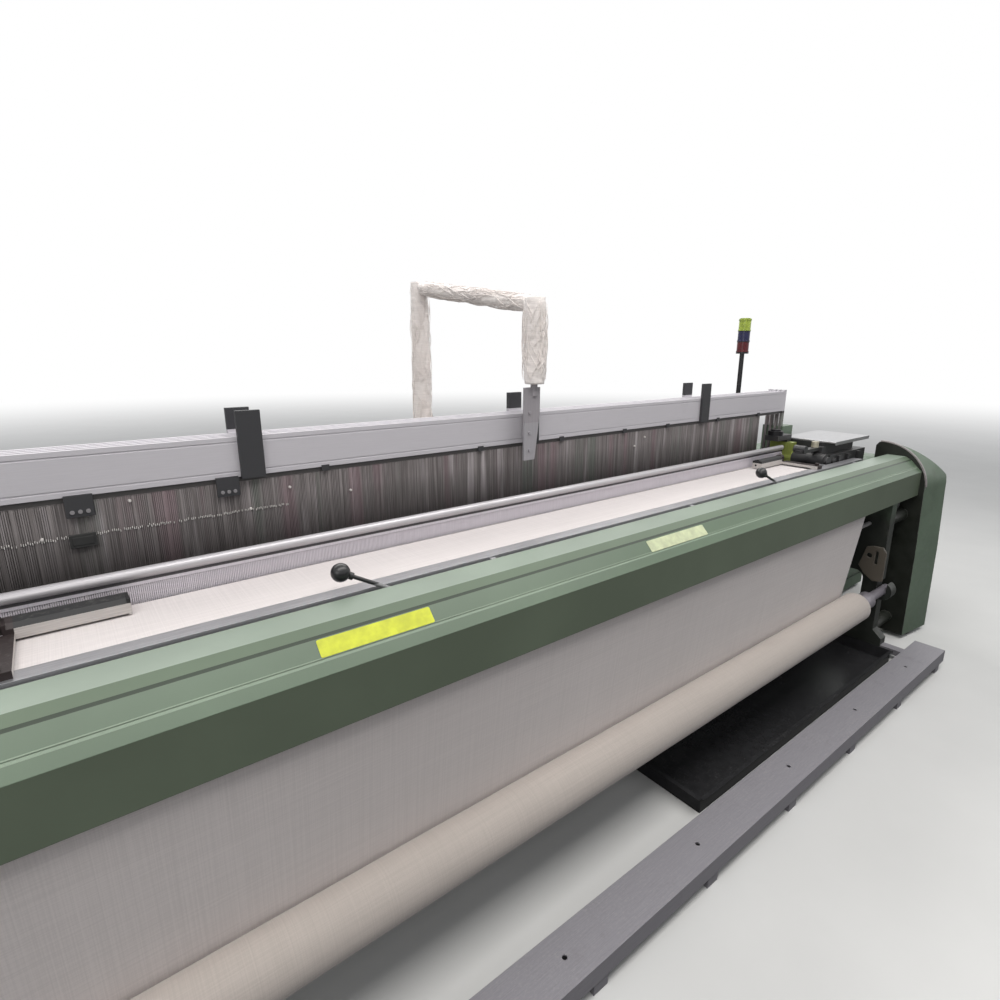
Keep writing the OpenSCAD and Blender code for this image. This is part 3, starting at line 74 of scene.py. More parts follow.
# Heald frames: the upper stave stands on STAVE_Z, and the lower one ends at LOWER_TOP
HEALD_T = 12 * MM
HEALD_PITCH = 26 * MM
HEALD_FRONT = 12 * MM
STAVE_Z = 1.234
STAVE_H = 0.104
LOWER_TOP = 0.662 + STAVE_H


def centre_yz(node):
    """Axis of a roll that lies along X."""
    lo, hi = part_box(node)
    return (lo.y + hi.y) / 2, (lo.z + hi.z) / 2


def roll_radius(node):
    """Radius of a roll that lies along X."""
    lo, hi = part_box(node)
    return (hi.z - lo.z) / 2


def cell_positions(offsets):
    """Places along X, the same few in every 32 mm cell of the reed."""
    start = -CELL * CELLS / 2
    return np.array([start + c * CELL + o for c in range(CELLS) for o in offsets])


# Mesh helpers
def piece(name, verts, faces, mat, body, smooth=False, replaces=()):
    """One piece of the scene, riding on a body of the frame."""
    mesh = bpy.data.meshes.new(name)
    mesh.from_pydata([tuple(map(float, v)) for v in verts], [], [tuple(int(i) for i in f) for f in faces])
    mesh.update()
    if smooth:
        mesh.polygons.foreach_set("use_smooth", [True] * len(mesh.polygons))
    obj = bpy.data.objects.new(name, mesh)
    bpy.context.scene.collection.objects.link(obj)
    obj.data.materials.append(mat)
    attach(obj, body)
    if replaces:
        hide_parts(*replaces)
    return obj


def boxes(rows):
    """Vertices and faces of many boxes, each row (x0, x1, y0, y1, z0, z1)."""
    rows = np.asarray(rows, float)
    corner = np.array([[i, 2 + j, 4 + k] for k in (0, 1) for j in (0, 1) for i in (0, 1)])
    verts = rows[:, corner].reshape(-1, 3)
    quad = np.array([[0, 2, 3, 1], [4, 5, 7, 6], [0, 1, 5, 4], [2, 6, 7, 3], [0, 4, 6, 2], [1, 3, 7, 5]])
    faces = (np.arange(len(rows))[:, None, None] * 8 + quad[None]).reshape(-1, 4)
    return verts, faces


def lathe(profile, steps, place):
    """Revolves (along, radius) pairs. place(along, radius, angle) gives the point."""
    verts = [place(a, r, 2 * math.pi * s / steps) for a, r in profile for s in range(steps)]
    faces = []
    for i in range(len(profile) - 1):
        for s in range(steps):
            t = (s + 1) % steps
            faces.append((i * steps + s, i * steps + t, (i + 1) * steps + t, (i + 1) * steps + s))
    faces.append(tuple(reversed(range(steps))))
    faces.append(tuple((len(profile) - 1) * steps + s for s in range(steps)))
    return verts, faces


def chamfered(start, end, radius, drop, bevel):
    """Profile of a round bar whose ends are smaller by drop."""
    return [(start, radius - drop), (start + bevel, radius), (end - bevel, radius), (end, radius - drop)]


def round_x(y, z):
    """A place function for a lathe whose axis lies along X."""
    return lambda a, r, t: (a, y + r * math.cos(t), z + r * math.sin(t))


def round_y(x, z):
    """A place function for a lathe whose axis lies along Y."""
    return lambda a, r, t: (x + r * math.cos(t), a, z + r * math.sin(t))


def join(parts):
    """Joins several (verts, faces) pairs into one."""
    verts, faces = [], []
    for v, f in parts:
        base = len(verts)
        verts += [tuple(p) for p in v]
        faces += [tuple(base + i for i in q) for q in f]
    return verts, faces


def tube(points, radius, sides=6):
    """A bent round bar through the points."""
    verts, faces = [], []
    points = [Vector(p) for p in points]
    side = None
    for i, p in enumerate(points):
        ahead = (points[min(i + 1, len(points) - 1)] - points[max(i - 1, 0)]).normalized()
        if side is None:
            side = ahead.orthogonal().normalized()
        side = (side - ahead * side.dot(ahead)).normalized()
        other = ahead.cross(side)
        r = radius(i / (len(points) - 1)) if callable(radius) else radius
        for s in range(sides):
            a = 2 * math.pi * s / sides
            verts.append(p + side * (r * math.cos(a)) + other * (r * math.sin(a)))
    for i in range(len(points) - 1):
        for s in range(sides):
            t = (s + 1) % sides
            faces.append((i * sides + s, i * sides + t, (i + 1) * sides + t, (i + 1) * sides + s))
    faces.append(tuple(reversed(range(sides))))
    faces.append(tuple((len(points) - 1) * sides + s for s in range(sides)))
    return verts, faces


def strip_tube(path, x0, x1, mat, name, body, columns, wave=None):
    """A thin sheet that follows a (y, z) path between x0 and x1. wave(x, s) moves it along its normal."""
    rows = len(path)
    length = [0.0]
    for a, b in zip(path, path[1:]):
        length.append(length[-1] + math.dist(a, b))
    verts, faces = [], []
    for i, (y, z) in enumerate(path):
        a, b = path[max(i - 1, 0)], path[min(i + 1, rows - 1)]
        d = math.hypot(b[0] - a[0], b[1] - a[1])
        normal = ((b[1] - a[1]) / d, -(b[0] - a[0]) / d)
        for c in range(columns + 1):
            x = x0 + (x1 - x0) * c / columns
            w = wave(x, length[i]) if wave else 0.0
            verts.append((x, y + normal[0] * w, z + normal[1] * w))
    for i in range(rows - 1):
        for c in range(columns):
            k = i * (columns + 1) + c
            faces.append((k, k + 1, k + columns + 2, k + columns + 1))
    return piece(name, verts, faces, mat, body, smooth=True), length[-1]


# Colours, as linear values, that the material helpers share
LINT_COLOUR = (0.62, 0.61, 0.58)
OIL_COLOUR = (0.07, 0.075, 0.06)
STAIN_COLOUR = (0.10, 0.085, 0.07)
RUBBED_COLOUR = (0.36, 0.37, 0.35)


# Material helpers
def new_material(name, roughness=0.5, metallic=0.0, **sockets):
    """A material with its tree and shader. sockets are more constants of the shader."""
    mat = bpy.data.materials.new(name)
    mat.use_nodes = True
    tree = mat.node_tree
    bsdf = tree.nodes["Principled BSDF"]
    bsdf.inputs["Roughness"].default_value = roughness
    bsdf.inputs["Metallic"].default_value = metallic
    for key, value in sockets.items():
        bsdf.inputs[key.replace("_", " ")].default_value = value
    return mat, tree, bsdf


def node(tree, kind, links=(), **values):
    """Adds a shader node with its settings. links are the outputs joined to its inputs."""
    made = tree.nodes.new(kind)
    for key, value in values.items():
        setattr(made, key, value)
    for key, source in dict(links).items():
        tree.links.new(source, made.inputs[key])
    return made


def math_node(tree, operation, a, b=None):
    """The result of an operation on numbers or outputs."""
    made = node(tree, "ShaderNodeMath", operation=operation)
    for i, value in enumerate((a, b)):
        if value is None:
            continue
        if isinstance(value, (int, float)):
            made.inputs[i].default_value = value
        else:
            tree.links.new(value, made.inputs[i])
    return made.outputs[0]


def ramp(tree, fac, low, high):
    """0 below low, 1 above high, smooth in between."""
    made = node(tree, "ShaderNodeMapRange", {"Value": fac}, interpolation_type="SMOOTHSTEP", clamp=True)
    made.inputs["From Min"].default_value = low
    made.inputs["From Max"].default_value = high
    return made.outputs[0]


def mix(tree, fac, a, b):
    """Mixes colours a and b, each a tuple or an output."""
    made = node(tree, "ShaderNodeMix", data_type="RGBA")
    tree.links.new(fac, made.inputs[0])
    for slot_index, value in ((6, a), (7, b)):
        if isinstance(value, tuple):
            made.inputs[slot_index].default_value = (*value, 1.0)
        else:
            tree.links.new(value, made.inputs[slot_index])
    return made.outputs[2]


def coords(tree, scale=(1.0, 1.0, 1.0)):
    """Places in the row frame, stretched by scale."""
    place = node(tree, "ShaderNodeTexCoord")
    stretch = node(tree, "ShaderNodeMapping", {"Vector": place.outputs["Object"]})
    stretch.inputs["Scale"].default_value = scale
    return stretch.outputs[0]


def noise_at(tree, vector, scale, detail=4.0, rough=0.55):
    """Soft noise with scale as its features a metre."""
    made = node(tree, "ShaderNodeTexNoise", {"Vector": vector})
    made.inputs["Scale"].default_value = scale
    made.inputs["Detail"].default_value = detail
    made.inputs["Roughness"].default_value = rough
    return made.outputs["Fac"]


def shade(colour, k):
    """The colour made k times as bright."""
    return tuple(min(1.0, c * k) for c in colour)


def finish_surface(tree, bsdf, colour, height, strength, distance, edge=None):
    """Connects a colour and a bump whose normals are softened at the edges."""
    tree.links.new(colour, bsdf.inputs["Base Color"])
    bump = node(tree, "ShaderNodeBump", {"Height": height})
    bump.inputs["Strength"].default_value = strength
    bump.inputs["Distance"].default_value = distance
    if edge:
        soft = node(tree, "ShaderNodeBevel", samples=4)
        soft.inputs["Radius"].default_value = edge
        tree.links.new(soft.outputs[0], bump.inputs["Normal"])
    tree.links.new(bump.outputs[0], bsdf.inputs["Normal"])


def toned(tree, colour, regions, fac, low, high):
    """The colour with its regions, made darker and lighter by fac between low and high."""
    if not regions:
        return mix(tree, fac, shade(colour, low), shade(colour, high))
    base = colour
    for lo, hi, other in regions:
        mask = lo(tree) if callable(lo) else inside(tree, lo, hi)
        base = mix(tree, mask, base, other(tree) if callable(other) else other)
    spread = node(tree, "ShaderNodeMapRange", {"Value": fac})
    spread.inputs["To Min"].default_value = low
    spread.inputs["To Max"].default_value = high
    scaled = node(tree, "ShaderNodeVectorMath", {"Scale": spread.outputs[0]}, operation="SCALE")
    tree.links.new(base, scaled.inputs[0])
    return scaled.outputs[0]


def split_place(tree):
    """The place in the row frame, as a node with the outputs X, Y and Z."""
    return node(tree, "ShaderNodeSeparateXYZ", {"Vector": node(tree, "ShaderNodeTexCoord").outputs["Object"]})


def product(tree, a, b):
    """The product of two numbers or outputs."""
    return math_node(tree, "MULTIPLY", a, b)


def beyond(y, z, radius, half):
    """1 outside a radius about an axis along X, up to a half width."""
    def mask(tree):
        split = split_place(tree)
        dy = math_node(tree, "SUBTRACT", split.outputs["Y"], y)
        dz = math_node(tree, "SUBTRACT", split.outputs["Z"], z)
        square = math_node(tree, "ADD", product(tree, dy, dy), product(tree, dz, dz))
        out = math_node(tree, "GREATER_THAN", square, radius * radius)
        near = math_node(tree, "LESS_THAN", math_node(tree, "ABSOLUTE", split.outputs["X"]), half)
        return product(tree, product(tree, out, near), math_node(tree, "GREATER_THAN", split.outputs["Z"], z))
    return mask


def below(low, high):
    """1 below low, 0 above high, with an uneven edge."""
    unevenness = 0.12
    middle = 0.06

    def mask(tree):
        drift = product(tree, noise_at(tree, coords(tree), 6.0, 5.0), unevenness)
        height = math_node(tree, "ADD", split_place(tree).outputs["Z"], drift)
        return math_node(tree, "SUBTRACT", 1.0, ramp(tree, height, low + middle, high + middle))
    return mask


def heddle_tone_and_shade(tree):
    """Dull wire colours with light and dark streaks, and painted shade that makes them darker towards the
    warp.
    """
    fine = ramp(tree, noise_at(tree, coords(tree, (60.0, 60.0, 1.0)), 5.0, 3.0), 0.32, 0.7)
    wide = noise_at(tree, coords(tree, (12.0, 12.0, 0.6)), 2.5, 4.0)
    tint = noise_at(tree, coords(tree, (9.0, 9.0, 0.5)), 1.6, 2.0)
    tone = mix(tree, fine, (0.150, 0.134, 0.132), (0.300, 0.272, 0.272))
    tone = mix(tree, ramp(tree, wide, 0.54, 0.70), tone, (0.46, 0.42, 0.43))
    tone = mix(tree, product(tree, ramp(tree, tint, 0.56, 0.7), 0.5), tone, (0.29, 0.19, 0.215))
    other = ramp(tree, math_node(tree, "SUBTRACT", 1.0, tint), 0.56, 0.7)
    tone = mix(tree, product(tree, other, 0.45), tone, (0.155, 0.20, 0.165))
    # Painted shade: below z 1.17 the wires get darker, down to 0.3 of their tone at 1.05
    height = node(tree, "ShaderNodeMapRange", {"Value": split_place(tree).outputs["Z"]}, clamp=True)
    height.inputs["From Min"].default_value = 1.05
    height.inputs["From Max"].default_value = 1.17
    height.inputs["To Min"].default_value = 0.30
    scaled = node(tree, "ShaderNodeVectorMath", {"Scale": height.outputs[0]}, operation="SCALE")
    tree.links.new(tone, scaled.inputs[0])
    return scaled.outputs[0]


def dust_mask(tree, amount):
    """Lint that settles on faces that look up."""
    normal = node(tree, "ShaderNodeNewGeometry").outputs["Normal"]
    facing = ramp(tree, node(tree, "ShaderNodeSeparateXYZ", {"Vector": normal}).outputs["Z"], 0.55, 0.98)
    fine = noise_at(tree, coords(tree, (1.0, 1.6, 1.0)), 90.0, 8.0, 0.75)
    drift = noise_at(tree, coords(tree, (0.6, 1.0, 1.0)), 5.0, 5.0, 0.6)
    both = math_node(tree, "ADD", product(tree, fine, 0.75), product(tree, drift, 0.25))
    cover = ramp(tree, both, 0.52 - 0.25 * amount, 0.86 - 0.2 * amount)
    return product(tree, facing, product(tree, cover, 0.3 + 0.6 * amount))


def settle_dust(tree, base, dust, share=0.75, colour=LINT_COLOUR):
    """The colour with lint on the faces that look up, or as it was where dust is 0."""
    return mix(tree, product(tree, dust_mask(tree, dust), share), base, colour) if dust else base


def painted(name, colour, rough=0.42, dust=0.35, grime=0.5, regions=(), specks=0.35,
            edge=3.5 * MM, wear=0.55, sheen=1.0):
    """Enamel on metal with uneven tone, oily grime, rubbed edges and lint on top.

    specks, wear and sheen scale the dark specks, the rubbed edges and the spread of the gloss.
    """
    mat, tree, bsdf = new_material(name, rough, 0.0, Specular_IOR_Level=0.45)
    place = coords(tree)
    broad = ramp(tree, noise_at(tree, place, 2.6, 6.0), 0.3, 0.7)
    base = toned(tree, colour, regions, broad, 0.9, 1.07)
    smear = ramp(tree, noise_at(tree, coords(tree, (1.0, 1.0, 0.35)), 9.0, 9.0, 0.68), 0.56, 0.82)
    base = mix(tree, product(tree, smear, grime), base, OIL_COLOUR)
    if specks:
        speck = ramp(tree, noise_at(tree, place, 130.0, 3.0), 0.68, 0.74)
        base = mix(tree, product(tree, speck, specks), base, shade(colour, 0.45))
    base = mix(tree, product(tree, edge_mask(tree, edge), wear), base, RUBBED_COLOUR)
    base = settle_dust(tree, base, dust)
    gloss = ramp(tree, noise_at(tree, place, 14.0, 6.0), 0.25, 0.8)
    spread = node(tree, "ShaderNodeMapRange", {"Value": gloss})
    spread.inputs["To Min"].default_value = rough - 0.1 * sheen
    spread.inputs["To Max"].default_value = rough + 0.18 * sheen
    tree.links.new(spread.outputs[0], bsdf.inputs["Roughness"])
    finish_surface(tree, bsdf, base, noise_at(tree, place, 260.0, 2.0), 0.12, 0.4 * MM, 1.6 * MM)
    return mat


def edge_mask(tree, radius):
    """1 near convex and concave edges, from the difference between rounded and true normals."""
    soft = node(tree, "ShaderNodeBevel", samples=4)
    soft.inputs["Radius"].default_value = radius
    true = node(tree, "ShaderNodeNewGeometry").outputs["Normal"]
    dot = node(tree, "ShaderNodeVectorMath", operation="DOT_PRODUCT")
    tree.links.new(soft.outputs[0], dot.inputs[0])
    tree.links.new(true, dot.inputs[1])
    bend = math_node(tree, "SUBTRACT", 1.0, dot.outputs["Value"])
    patchy = ramp(tree, noise_at(tree, coords(tree), 34.0, 6.0, 0.7), 0.42, 0.6)
    return product(tree, ramp(tree, bend, 0.03, 0.2), patchy)


def inside(tree, lo, hi):
    """1 inside the box lo..hi of the row frame. None leaves a side open."""
    split = split_place(tree)
    mask = None
    for axis, low, high in zip("XYZ", lo, hi):
        for operation, limit in (("GREATER_THAN", low), ("LESS_THAN", high)):
            if limit is None:
                continue
            test = math_node(tree, operation, split.outputs[axis], limit)
            mask = test if mask is None else product(tree, mask, test)
    return mask


def steel(name, colour=(0.5, 0.5, 0.51), rough=0.34, metallic=0.85, grime=0.3, dust=0.2, regions=(),
          along="x", draw=1.0):
    """Bare or plated metal with fine drawing lines, stains and lint."""
    mat, tree, bsdf = new_material(name, rough, metallic)
    place = coords(tree)
    scale = (2.0, 90.0, 90.0) if along == "x" else (90.0, 90.0, 2.0)
    lines = noise_at(tree, coords(tree, scale), 6.0, 3.0)
    base = toned(tree, colour, regions, ramp(tree, lines, 0.3, 0.7), 1 - 0.14 * draw, 1 + 0.1 * draw)
    stain = ramp(tree, noise_at(tree, place, 7.0, 9.0, 0.7), 0.55, 0.8)
    base = mix(tree, product(tree, stain, grime), base, STAIN_COLOUR)
    base = settle_dust(tree, base, dust, 0.7, (0.62, 0.6, 0.57))
    spread = node(tree, "ShaderNodeMapRange", {"Value": stain})
    spread.inputs["To Min"].default_value = rough
    spread.inputs["To Max"].default_value = min(0.9, rough + 0.25)
    tree.links.new(spread.outputs[0], bsdf.inputs["Roughness"])
    finish_surface(tree, bsdf, base, lines, 0.08 * draw, 0.2 * MM, 1.2 * MM)
    return mat


def plastic(name, colour, rough=0.4, regions=(), dust=0.2):
    """Moulded plastic, rubber or enamelled small part."""
    mat, tree, bsdf = new_material(name, rough)
    place = coords(tree)
    base = toned(tree, colour, regions, ramp(tree, noise_at(tree, place, 30.0, 5.0), 0.3, 0.75), 0.85, 1.15)
    lint = product(tree, dust_mask(tree, dust), 0.6)
    base = mix(tree, lint, base, (0.6, 0.59, 0.56))
    finish_surface(tree, bsdf, base, noise_at(tree, place, 420.0, 2.0), 0.15, 0.2 * MM, 1.0 * MM)
    return mat


def woven(name, colour, pitch=1.6 * MM):
    """Plain weave with slubs, seen as a fine grid of raised threads."""
    mat, tree, bsdf = new_material(name, 0.88, 0.0, Sheen_Weight=0.25, Sheen_Roughness=0.5)
    split = split_place(tree)
    turn = 2 * math.pi / pitch
    ends = math_node(tree, "SINE", product(tree, split.outputs["X"], turn))
    picks = math_node(tree, "SINE", product(tree, split.outputs["Z"], turn))
    grid = product(tree, ends, picks)
    slub = noise_at(tree, coords(tree, (0.4, 40.0, 40.0)), 9.0, 3.0)
    slub_up = noise_at(tree, coords(tree, (60.0, 0.5, 0.5)), 6.0, 3.0)
    threads = math_node(tree, "ADD", slub, slub_up)
    tone = mix(tree, ramp(tree, threads, 0.75, 1.25), shade(colour, 0.93), shade(colour, 1.04))
    patch = ramp(tree, noise_at(tree, coords(tree), 1.7, 6.0), 0.35, 0.75)
    tone = mix(tree, product(tree, patch, 0.35), tone, shade(colour, 0.86))
    height = math_node(tree, "ADD", grid, threads)
    finish_surface(tree, bsdf, tone, height, 0.35, 0.35 * MM)
    return mat


def yarn_fibre(name, colour, along=(1.0, 1.0, 30.0), rough=0.9, low=0.72):
    """Loose or wound yarn: streaks along the thread and a soft fuzz."""
    mat, tree, bsdf = new_material(name, rough, 0.0, Sheen_Weight=0.5, Sheen_Roughness=0.45)
    strands = noise_at(tree, coords(tree, along), 26.0, 5.0, 0.65)
    clumps = noise_at(tree, coords(tree), 22.0, 6.0, 0.6)
    tone = mix(tree, ramp(tree, strands, 0.3, 0.72), shade(colour, low), shade(colour, 1.06))
    tone = mix(tree, ramp(tree, clumps, 0.55, 0.8), tone, shade(colour, low - 0.08))
    finish_surface(tree, bsdf, tone, strands, 0.6, 1.2 * MM)
    return mat


# A region's corner that leaves all its sides open
ANYWHERE = (None, None, None)

# Colours, as linear values
BLACK = (0.012, 0.012, 0.013)
GREEN = (0.118, 0.165, 0.116)
DARK_GREEN = (0.035, 0.060, 0.040)
# Painted shade for the parts under the beam cover
PAINTED_SHADE_BELOW_COVER = (0.021, 0.024, 0.020)
CREAM = (0.70, 0.65, 0.64)
STAVE = (0.575, 0.555, 0.59)


def around(y, z, reach):
    """A region's corners: a square bar along X with its middle at y and z."""
    return (None, y - reach, z - reach), (None, y + reach, z + reach)


# The beam cover from the cloth to the floor: top, bevel with a dark line under it, slanted panel, front. One
# green paint is given painted light and shade by face: the top keeps a pale lit tone, and the faces in front
# of it are painted darker.
TOP_EDGE_Y = cover_lo.y + 83 * MM
BEVEL_Y = cover_lo.y + 54 * MM
GROOVE_Y = cover_lo.y + 22.7 * MM
GROOVE_Z = CLOTH_Z - 37.3 * MM
cover_light_and_shade_regions = [
    # Painted shade: everything in front of the top's edge is darker than the lit top
    (ANYWHERE, (None, TOP_EDGE_Y, None), (0.118, 0.160, 0.108)),
    # Painted shade: the dark line in the recess under the bevel
    ((None, None, CLOTH_Z - 9.5 * MM), (None, BEVEL_Y + 7 * MM, None), (0.026, 0.040, 0.024)),
    (ANYWHERE, (None, BEVEL_Y, CLOTH_Z - 5 * MM), (0.105, 0.155, 0.100)),
    # Painted highlight: a lighter band low on the slanted panel
    (*around(GROOVE_Y, GROOVE_Z, 3.4 * MM), (0.22, 0.29, 0.21)),
    (ANYWHERE, (None, BEVEL_Y, CLOTH_Z - 60.5 * MM), (0.120, 0.150, 0.105)),
]
mat_cover = painted("cover_enamel_painted_light", (0.250, 0.305, 0.250), 0.34, 0, 0.0, cover_light_and_shade_regions, 0,
                    edge=1.3 * MM, wear=0.12, sheen=0.05)
mat_green = painted("machine_enamel", GREEN, 0.42, 0.25, 0.65)
mat_dark_green = painted("dark_enamel", DARK_GREEN, 0.5, 0.5, 0.7)
mat_grey_paint = painted("cabinet_enamel", (0.42, 0.43, 0.42), 0.4, 0.3, 0.3)
mat_steel = steel("drawn_steel")
mat_bright = steel("bright_steel", (0.62, 0.62, 0.64), 0.22, 0.95, 0.15, 0.1)
mat_bar = steel("breast_bar_steel", (0.42, 0.42, 0.44), 0.38, 0.8, 0.35, 0.35)
mat_step = steel("step_zinc", (0.28, 0.27, 0.295), 0.5, 0.25, 0.3, 0.2, draw=0.6)
mat_alloy = steel("cast_alloy", (0.5, 0.5, 0.52), 0.42, 0.6, 0.25, 0.3)

# Receiving unit: a lime block, a cream tab and a black top
LIME_BLOCK = (1.655, -0.531, 0.966), (1.706, -0.412, 1.0905)
CREAM_TAB = (1.664, -0.653, 1.0785), (1.706, -0.613, None)
BLACK_TOP = (1.560, -0.505, 1.1275), (1.650, -0.420, None)
mat_iron = steel("oily_iron", (0.05, 0.05, 0.052), 0.42, 0.5, 0.5, 0.45, [
    (*LIME_BLOCK, (0.34, 0.40, 0.10)),
    (*CREAM_TAB, (0.50, 0.46, 0.36)),
    (*BLACK_TOP, (0.012, 0.012, 0.014)),
], along="z")

# Side frames: painted shade under the cover, darker below an uneven line, with oily roll arms and a black
# bearing cap at each end
SHADE_MASK_BELOW_COVER = below(0.70, 0.86)
ROLL_ARMS = (-1.885, -0.98, 0.39), (1.885, -0.845, 0.60)
CAP_IN, CAP_OUT = 1.9605, 2.06
CAP_FRONT, CAP_BACK = -0.955, -0.855
CAP_LOW, CAP_HIGH = 0.745, 0.845
mat_frame = painted("frame_enamel_shaded_below", GREEN, 0.45, 0.25, 0.65, [
    (SHADE_MASK_BELOW_COVER, None, PAINTED_SHADE_BELOW_COVER),
    (*ROLL_ARMS, (0.115, 0.100, 0.080)),
    ((CAP_IN, CAP_FRONT, CAP_LOW), (CAP_OUT, CAP_BACK, CAP_HIGH), BLACK),
    ((-CAP_OUT, CAP_FRONT, CAP_LOW), (-CAP_IN, CAP_BACK, CAP_HIGH), BLACK),
])
# Cross ties: the same painted shade under the cover, and a light grey round rod
ROUND_ROD_Y, ROUND_ROD_Z = -0.860, 0.690
mat_ties = painted("tie_enamel_shaded_below", GREEN, 0.45, 0.25, 0.65, [
    (SHADE_MASK_BELOW_COVER, None, PAINTED_SHADE_BELOW_COVER),
    (*around(ROUND_ROD_Y, ROUND_ROD_Z, 13 * MM), (0.38, 0.37, 0.37)),
])

# End cheeks: inner faces painted near black as shade, with a pale trim over the round top
CHEEK_INSIDE = 2.1915
TRIM_END = 2.2055
CHEEK_Y, CHEEK_Z = cover_lo.y + 0.201, 0.848
trim_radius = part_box("end_cheek_right")[1].z - CHEEK_Z - 6 * MM
mat_cheek = painted("cheek_enamel_shaded_inside", GREEN, 0.42, 0.2, 0.5, [
    # Painted shade on the inner faces
    ((-CHEEK_INSIDE, None, None), (CHEEK_INSIDE, None, None), (0.014, 0.016, 0.012)),
    (beyond(CHEEK_Y, CHEEK_Z, trim_radius, TRIM_END), None, (0.30, 0.27, 0.27)),
])

# Temples: a black top and a dark end over the selvedge
TEMPLE_END = HALF - 107 * MM
mat_temple = steel("temple_metal", (0.52, 0.49, 0.47), 0.55, 0.15, 0.2, 0.1, [
    ((None, None, CLOTH_Z + 30 * MM), ANYWHERE, BLACK),
    ((TEMPLE_END, None, None), ANYWHERE, (0.022, 0.014, 0.014)),
    (ANYWHERE, (-TEMPLE_END, None, None), (0.022, 0.014, 0.014)),
])
GUIDE_STRIP_TOP = 1.31
mat_gantry = steel("gantry_alloy", (0.33, 0.31, 0.33), 0.5, 0.2, 0.3, 0.3, [
    (ANYWHERE, (None, None, GUIDE_STRIP_TOP), (0.37, 0.355, 0.38)),
], "z", 0.4)
mat_black = plastic("black_plastic", (0.012, 0.012, 0.014), 0.32)
mat_rubber = plastic("black_rubber", (0.02, 0.02, 0.02), 0.7)
mat_tray = plastic("tray_black", (0.027, 0.027, 0.029), 0.26, dust=0.0)
mat_cloth = woven("greige_cloth", CREAM)
# The rolled cloth is the cloth's colour painted darker, as shade under the machine
mat_roll_shaded = woven("rolled_cloth_painted_shade", (0.47, 0.42, 0.385))
mat_yarn = yarn_fibre("fluffy_yarn", (0.95, 0.885, 0.855), low=0.86)
mat_warp = yarn_fibre("warp_yarn", (0.62, 0.58, 0.54), (60.0, 0.6, 0.6))
mat_cone = yarn_fibre("cone_yarn", (0.74, 0.71, 0.66), (14.0, 3.0, 3.0))

# Heald frames: heddles between two dark rails, pale staves, and dark spacer plates above them.
# The first one has dark screw blocks in front, with pale screws.
RAIL = (0.06, 0.056, 0.056)
heald_regions = [
    ((None, None, LOWER_TOP + 13 * MM), (None, None, STAVE_Z - 13 * MM), heddle_tone_and_shade),
    ((None, None, STAVE_Z - 13 * MM), (None, None, STAVE_Z - 1 * MM), RAIL),
    ((None, None, LOWER_TOP + 1 * MM), (None, None, LOWER_TOP + 13 * MM), RAIL),
    ((None, None, STAVE_Z + STAVE_H + 9 * MM), ANYWHERE, (0.050, 0.050, 0.055)),
]
block_regions = [
    ((None, None, STAVE_Z - 50 * MM), (None, heald_lo.y + 11.9 * MM, None), (0.044, 0.044, 0.048)),
    ((None, None, STAVE_Z - 39 * MM), (None, heald_lo.y + 3.5 * MM, STAVE_Z - 29 * MM), (0.26, 0.25, 0.26)),
]
mat_stave = steel("stave_alloy", STAVE, 0.5, 0.25, 0.10, 0, heald_regions, draw=0.2)
mat_stave_1 = steel("first_stave_alloy", STAVE, 0.5, 0.25, 0.10, 0, heald_regions + block_regions, draw=0.2)

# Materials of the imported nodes
LOOKS = {
    mat_cover: "front_cover",
    mat_green: "sley_gearboxes picking_unit shedding_box weft_creel letoff_unit",
    mat_frame: "side_frame_left side_frame_right",
    mat_cheek: "end_cheek_left end_cheek_right",
    mat_ties: "cross_ties",
    mat_dark_green: "cross_girder drive_motor",
    mat_grey_paint: "control_cabinet cabinet_door",
    mat_steel: "stop_motion sley_shaft guide_teeth main_shaft motor_pulley press_roller whip_roll "
               "lever_odd_left lever_odd_right lever_even_left lever_even_right pull_rod_odd pull_rod_even "
               "receiver_lid",
    mat_temple: "temple_housings",
    mat_gantry: "yarn_gantry",
    mat_bright: "projectile",
    mat_bar: "breast_bar",
    mat_step: "step_rail",
    mat_alloy: "sley_beam warp_beam reed",
    mat_iron: "receiver_unit",
    mat_rubber: "levelling_feet drive_belt takeup_roller temple_roller_left temple_roller_right",
    mat_tray: "floor_tray",
    mat_black: "weft_feeders handwheel",
    mat_stave: "heald_frame_2 heald_frame_3 heald_frame_4",
    mat_stave_1: "heald_frame_1",
    mat_cloth: "cloth_sheet cloth_roll",
    mat_warp: "warp_sheet warp_yarn",
    mat_yarn: "gantry_yarn weft_packages",
}


def dress(name, mat):
    """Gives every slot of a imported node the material."""
    for material_slot in nodes[name].material_slots:
        material_slot.material = mat


for look, names in LOOKS.items():
    for name in names.split():
        dress(name, look)

# Signal tower: red, blue and lime lenses on top of each other
LENSES_H = 0.190
LENS_H = 57 * MM
LENS_PITCH = 60 * MM
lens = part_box("signal_tower")[1].z - LENSES_H
dress("signal_tower", plastic("tower_lenses", (0.012, 0.012, 0.014), 0.25, [
    ((None, None, lens), (None, None, lens + LENS_H), (0.10, 0.008, 0.012)),
    ((None, None, lens + LENS_PITCH), (None, None, lens + LENS_PITCH + LENS_H), (0.012, 0.012, 0.06)),
    ((None, None, lens + 2 * LENS_PITCH), ANYWHERE, (0.36, 0.46, 0.06)),
]))
KNOBS_FROM = CLOTH_Z + 16 * MM
dress("start_shaft", plastic("knob_and_shaft", (0.24, 0.24, 0.245), 0.3, [
    ((None, None, KNOBS_FROM), ANYWHERE, BLACK),
]))
dress("start_button", plastic("green_button", (0.01, 0.14, 0.03), 0.3))
dress("stop_button", plastic("red_button", (0.32, 0.01, 0.012), 0.3))

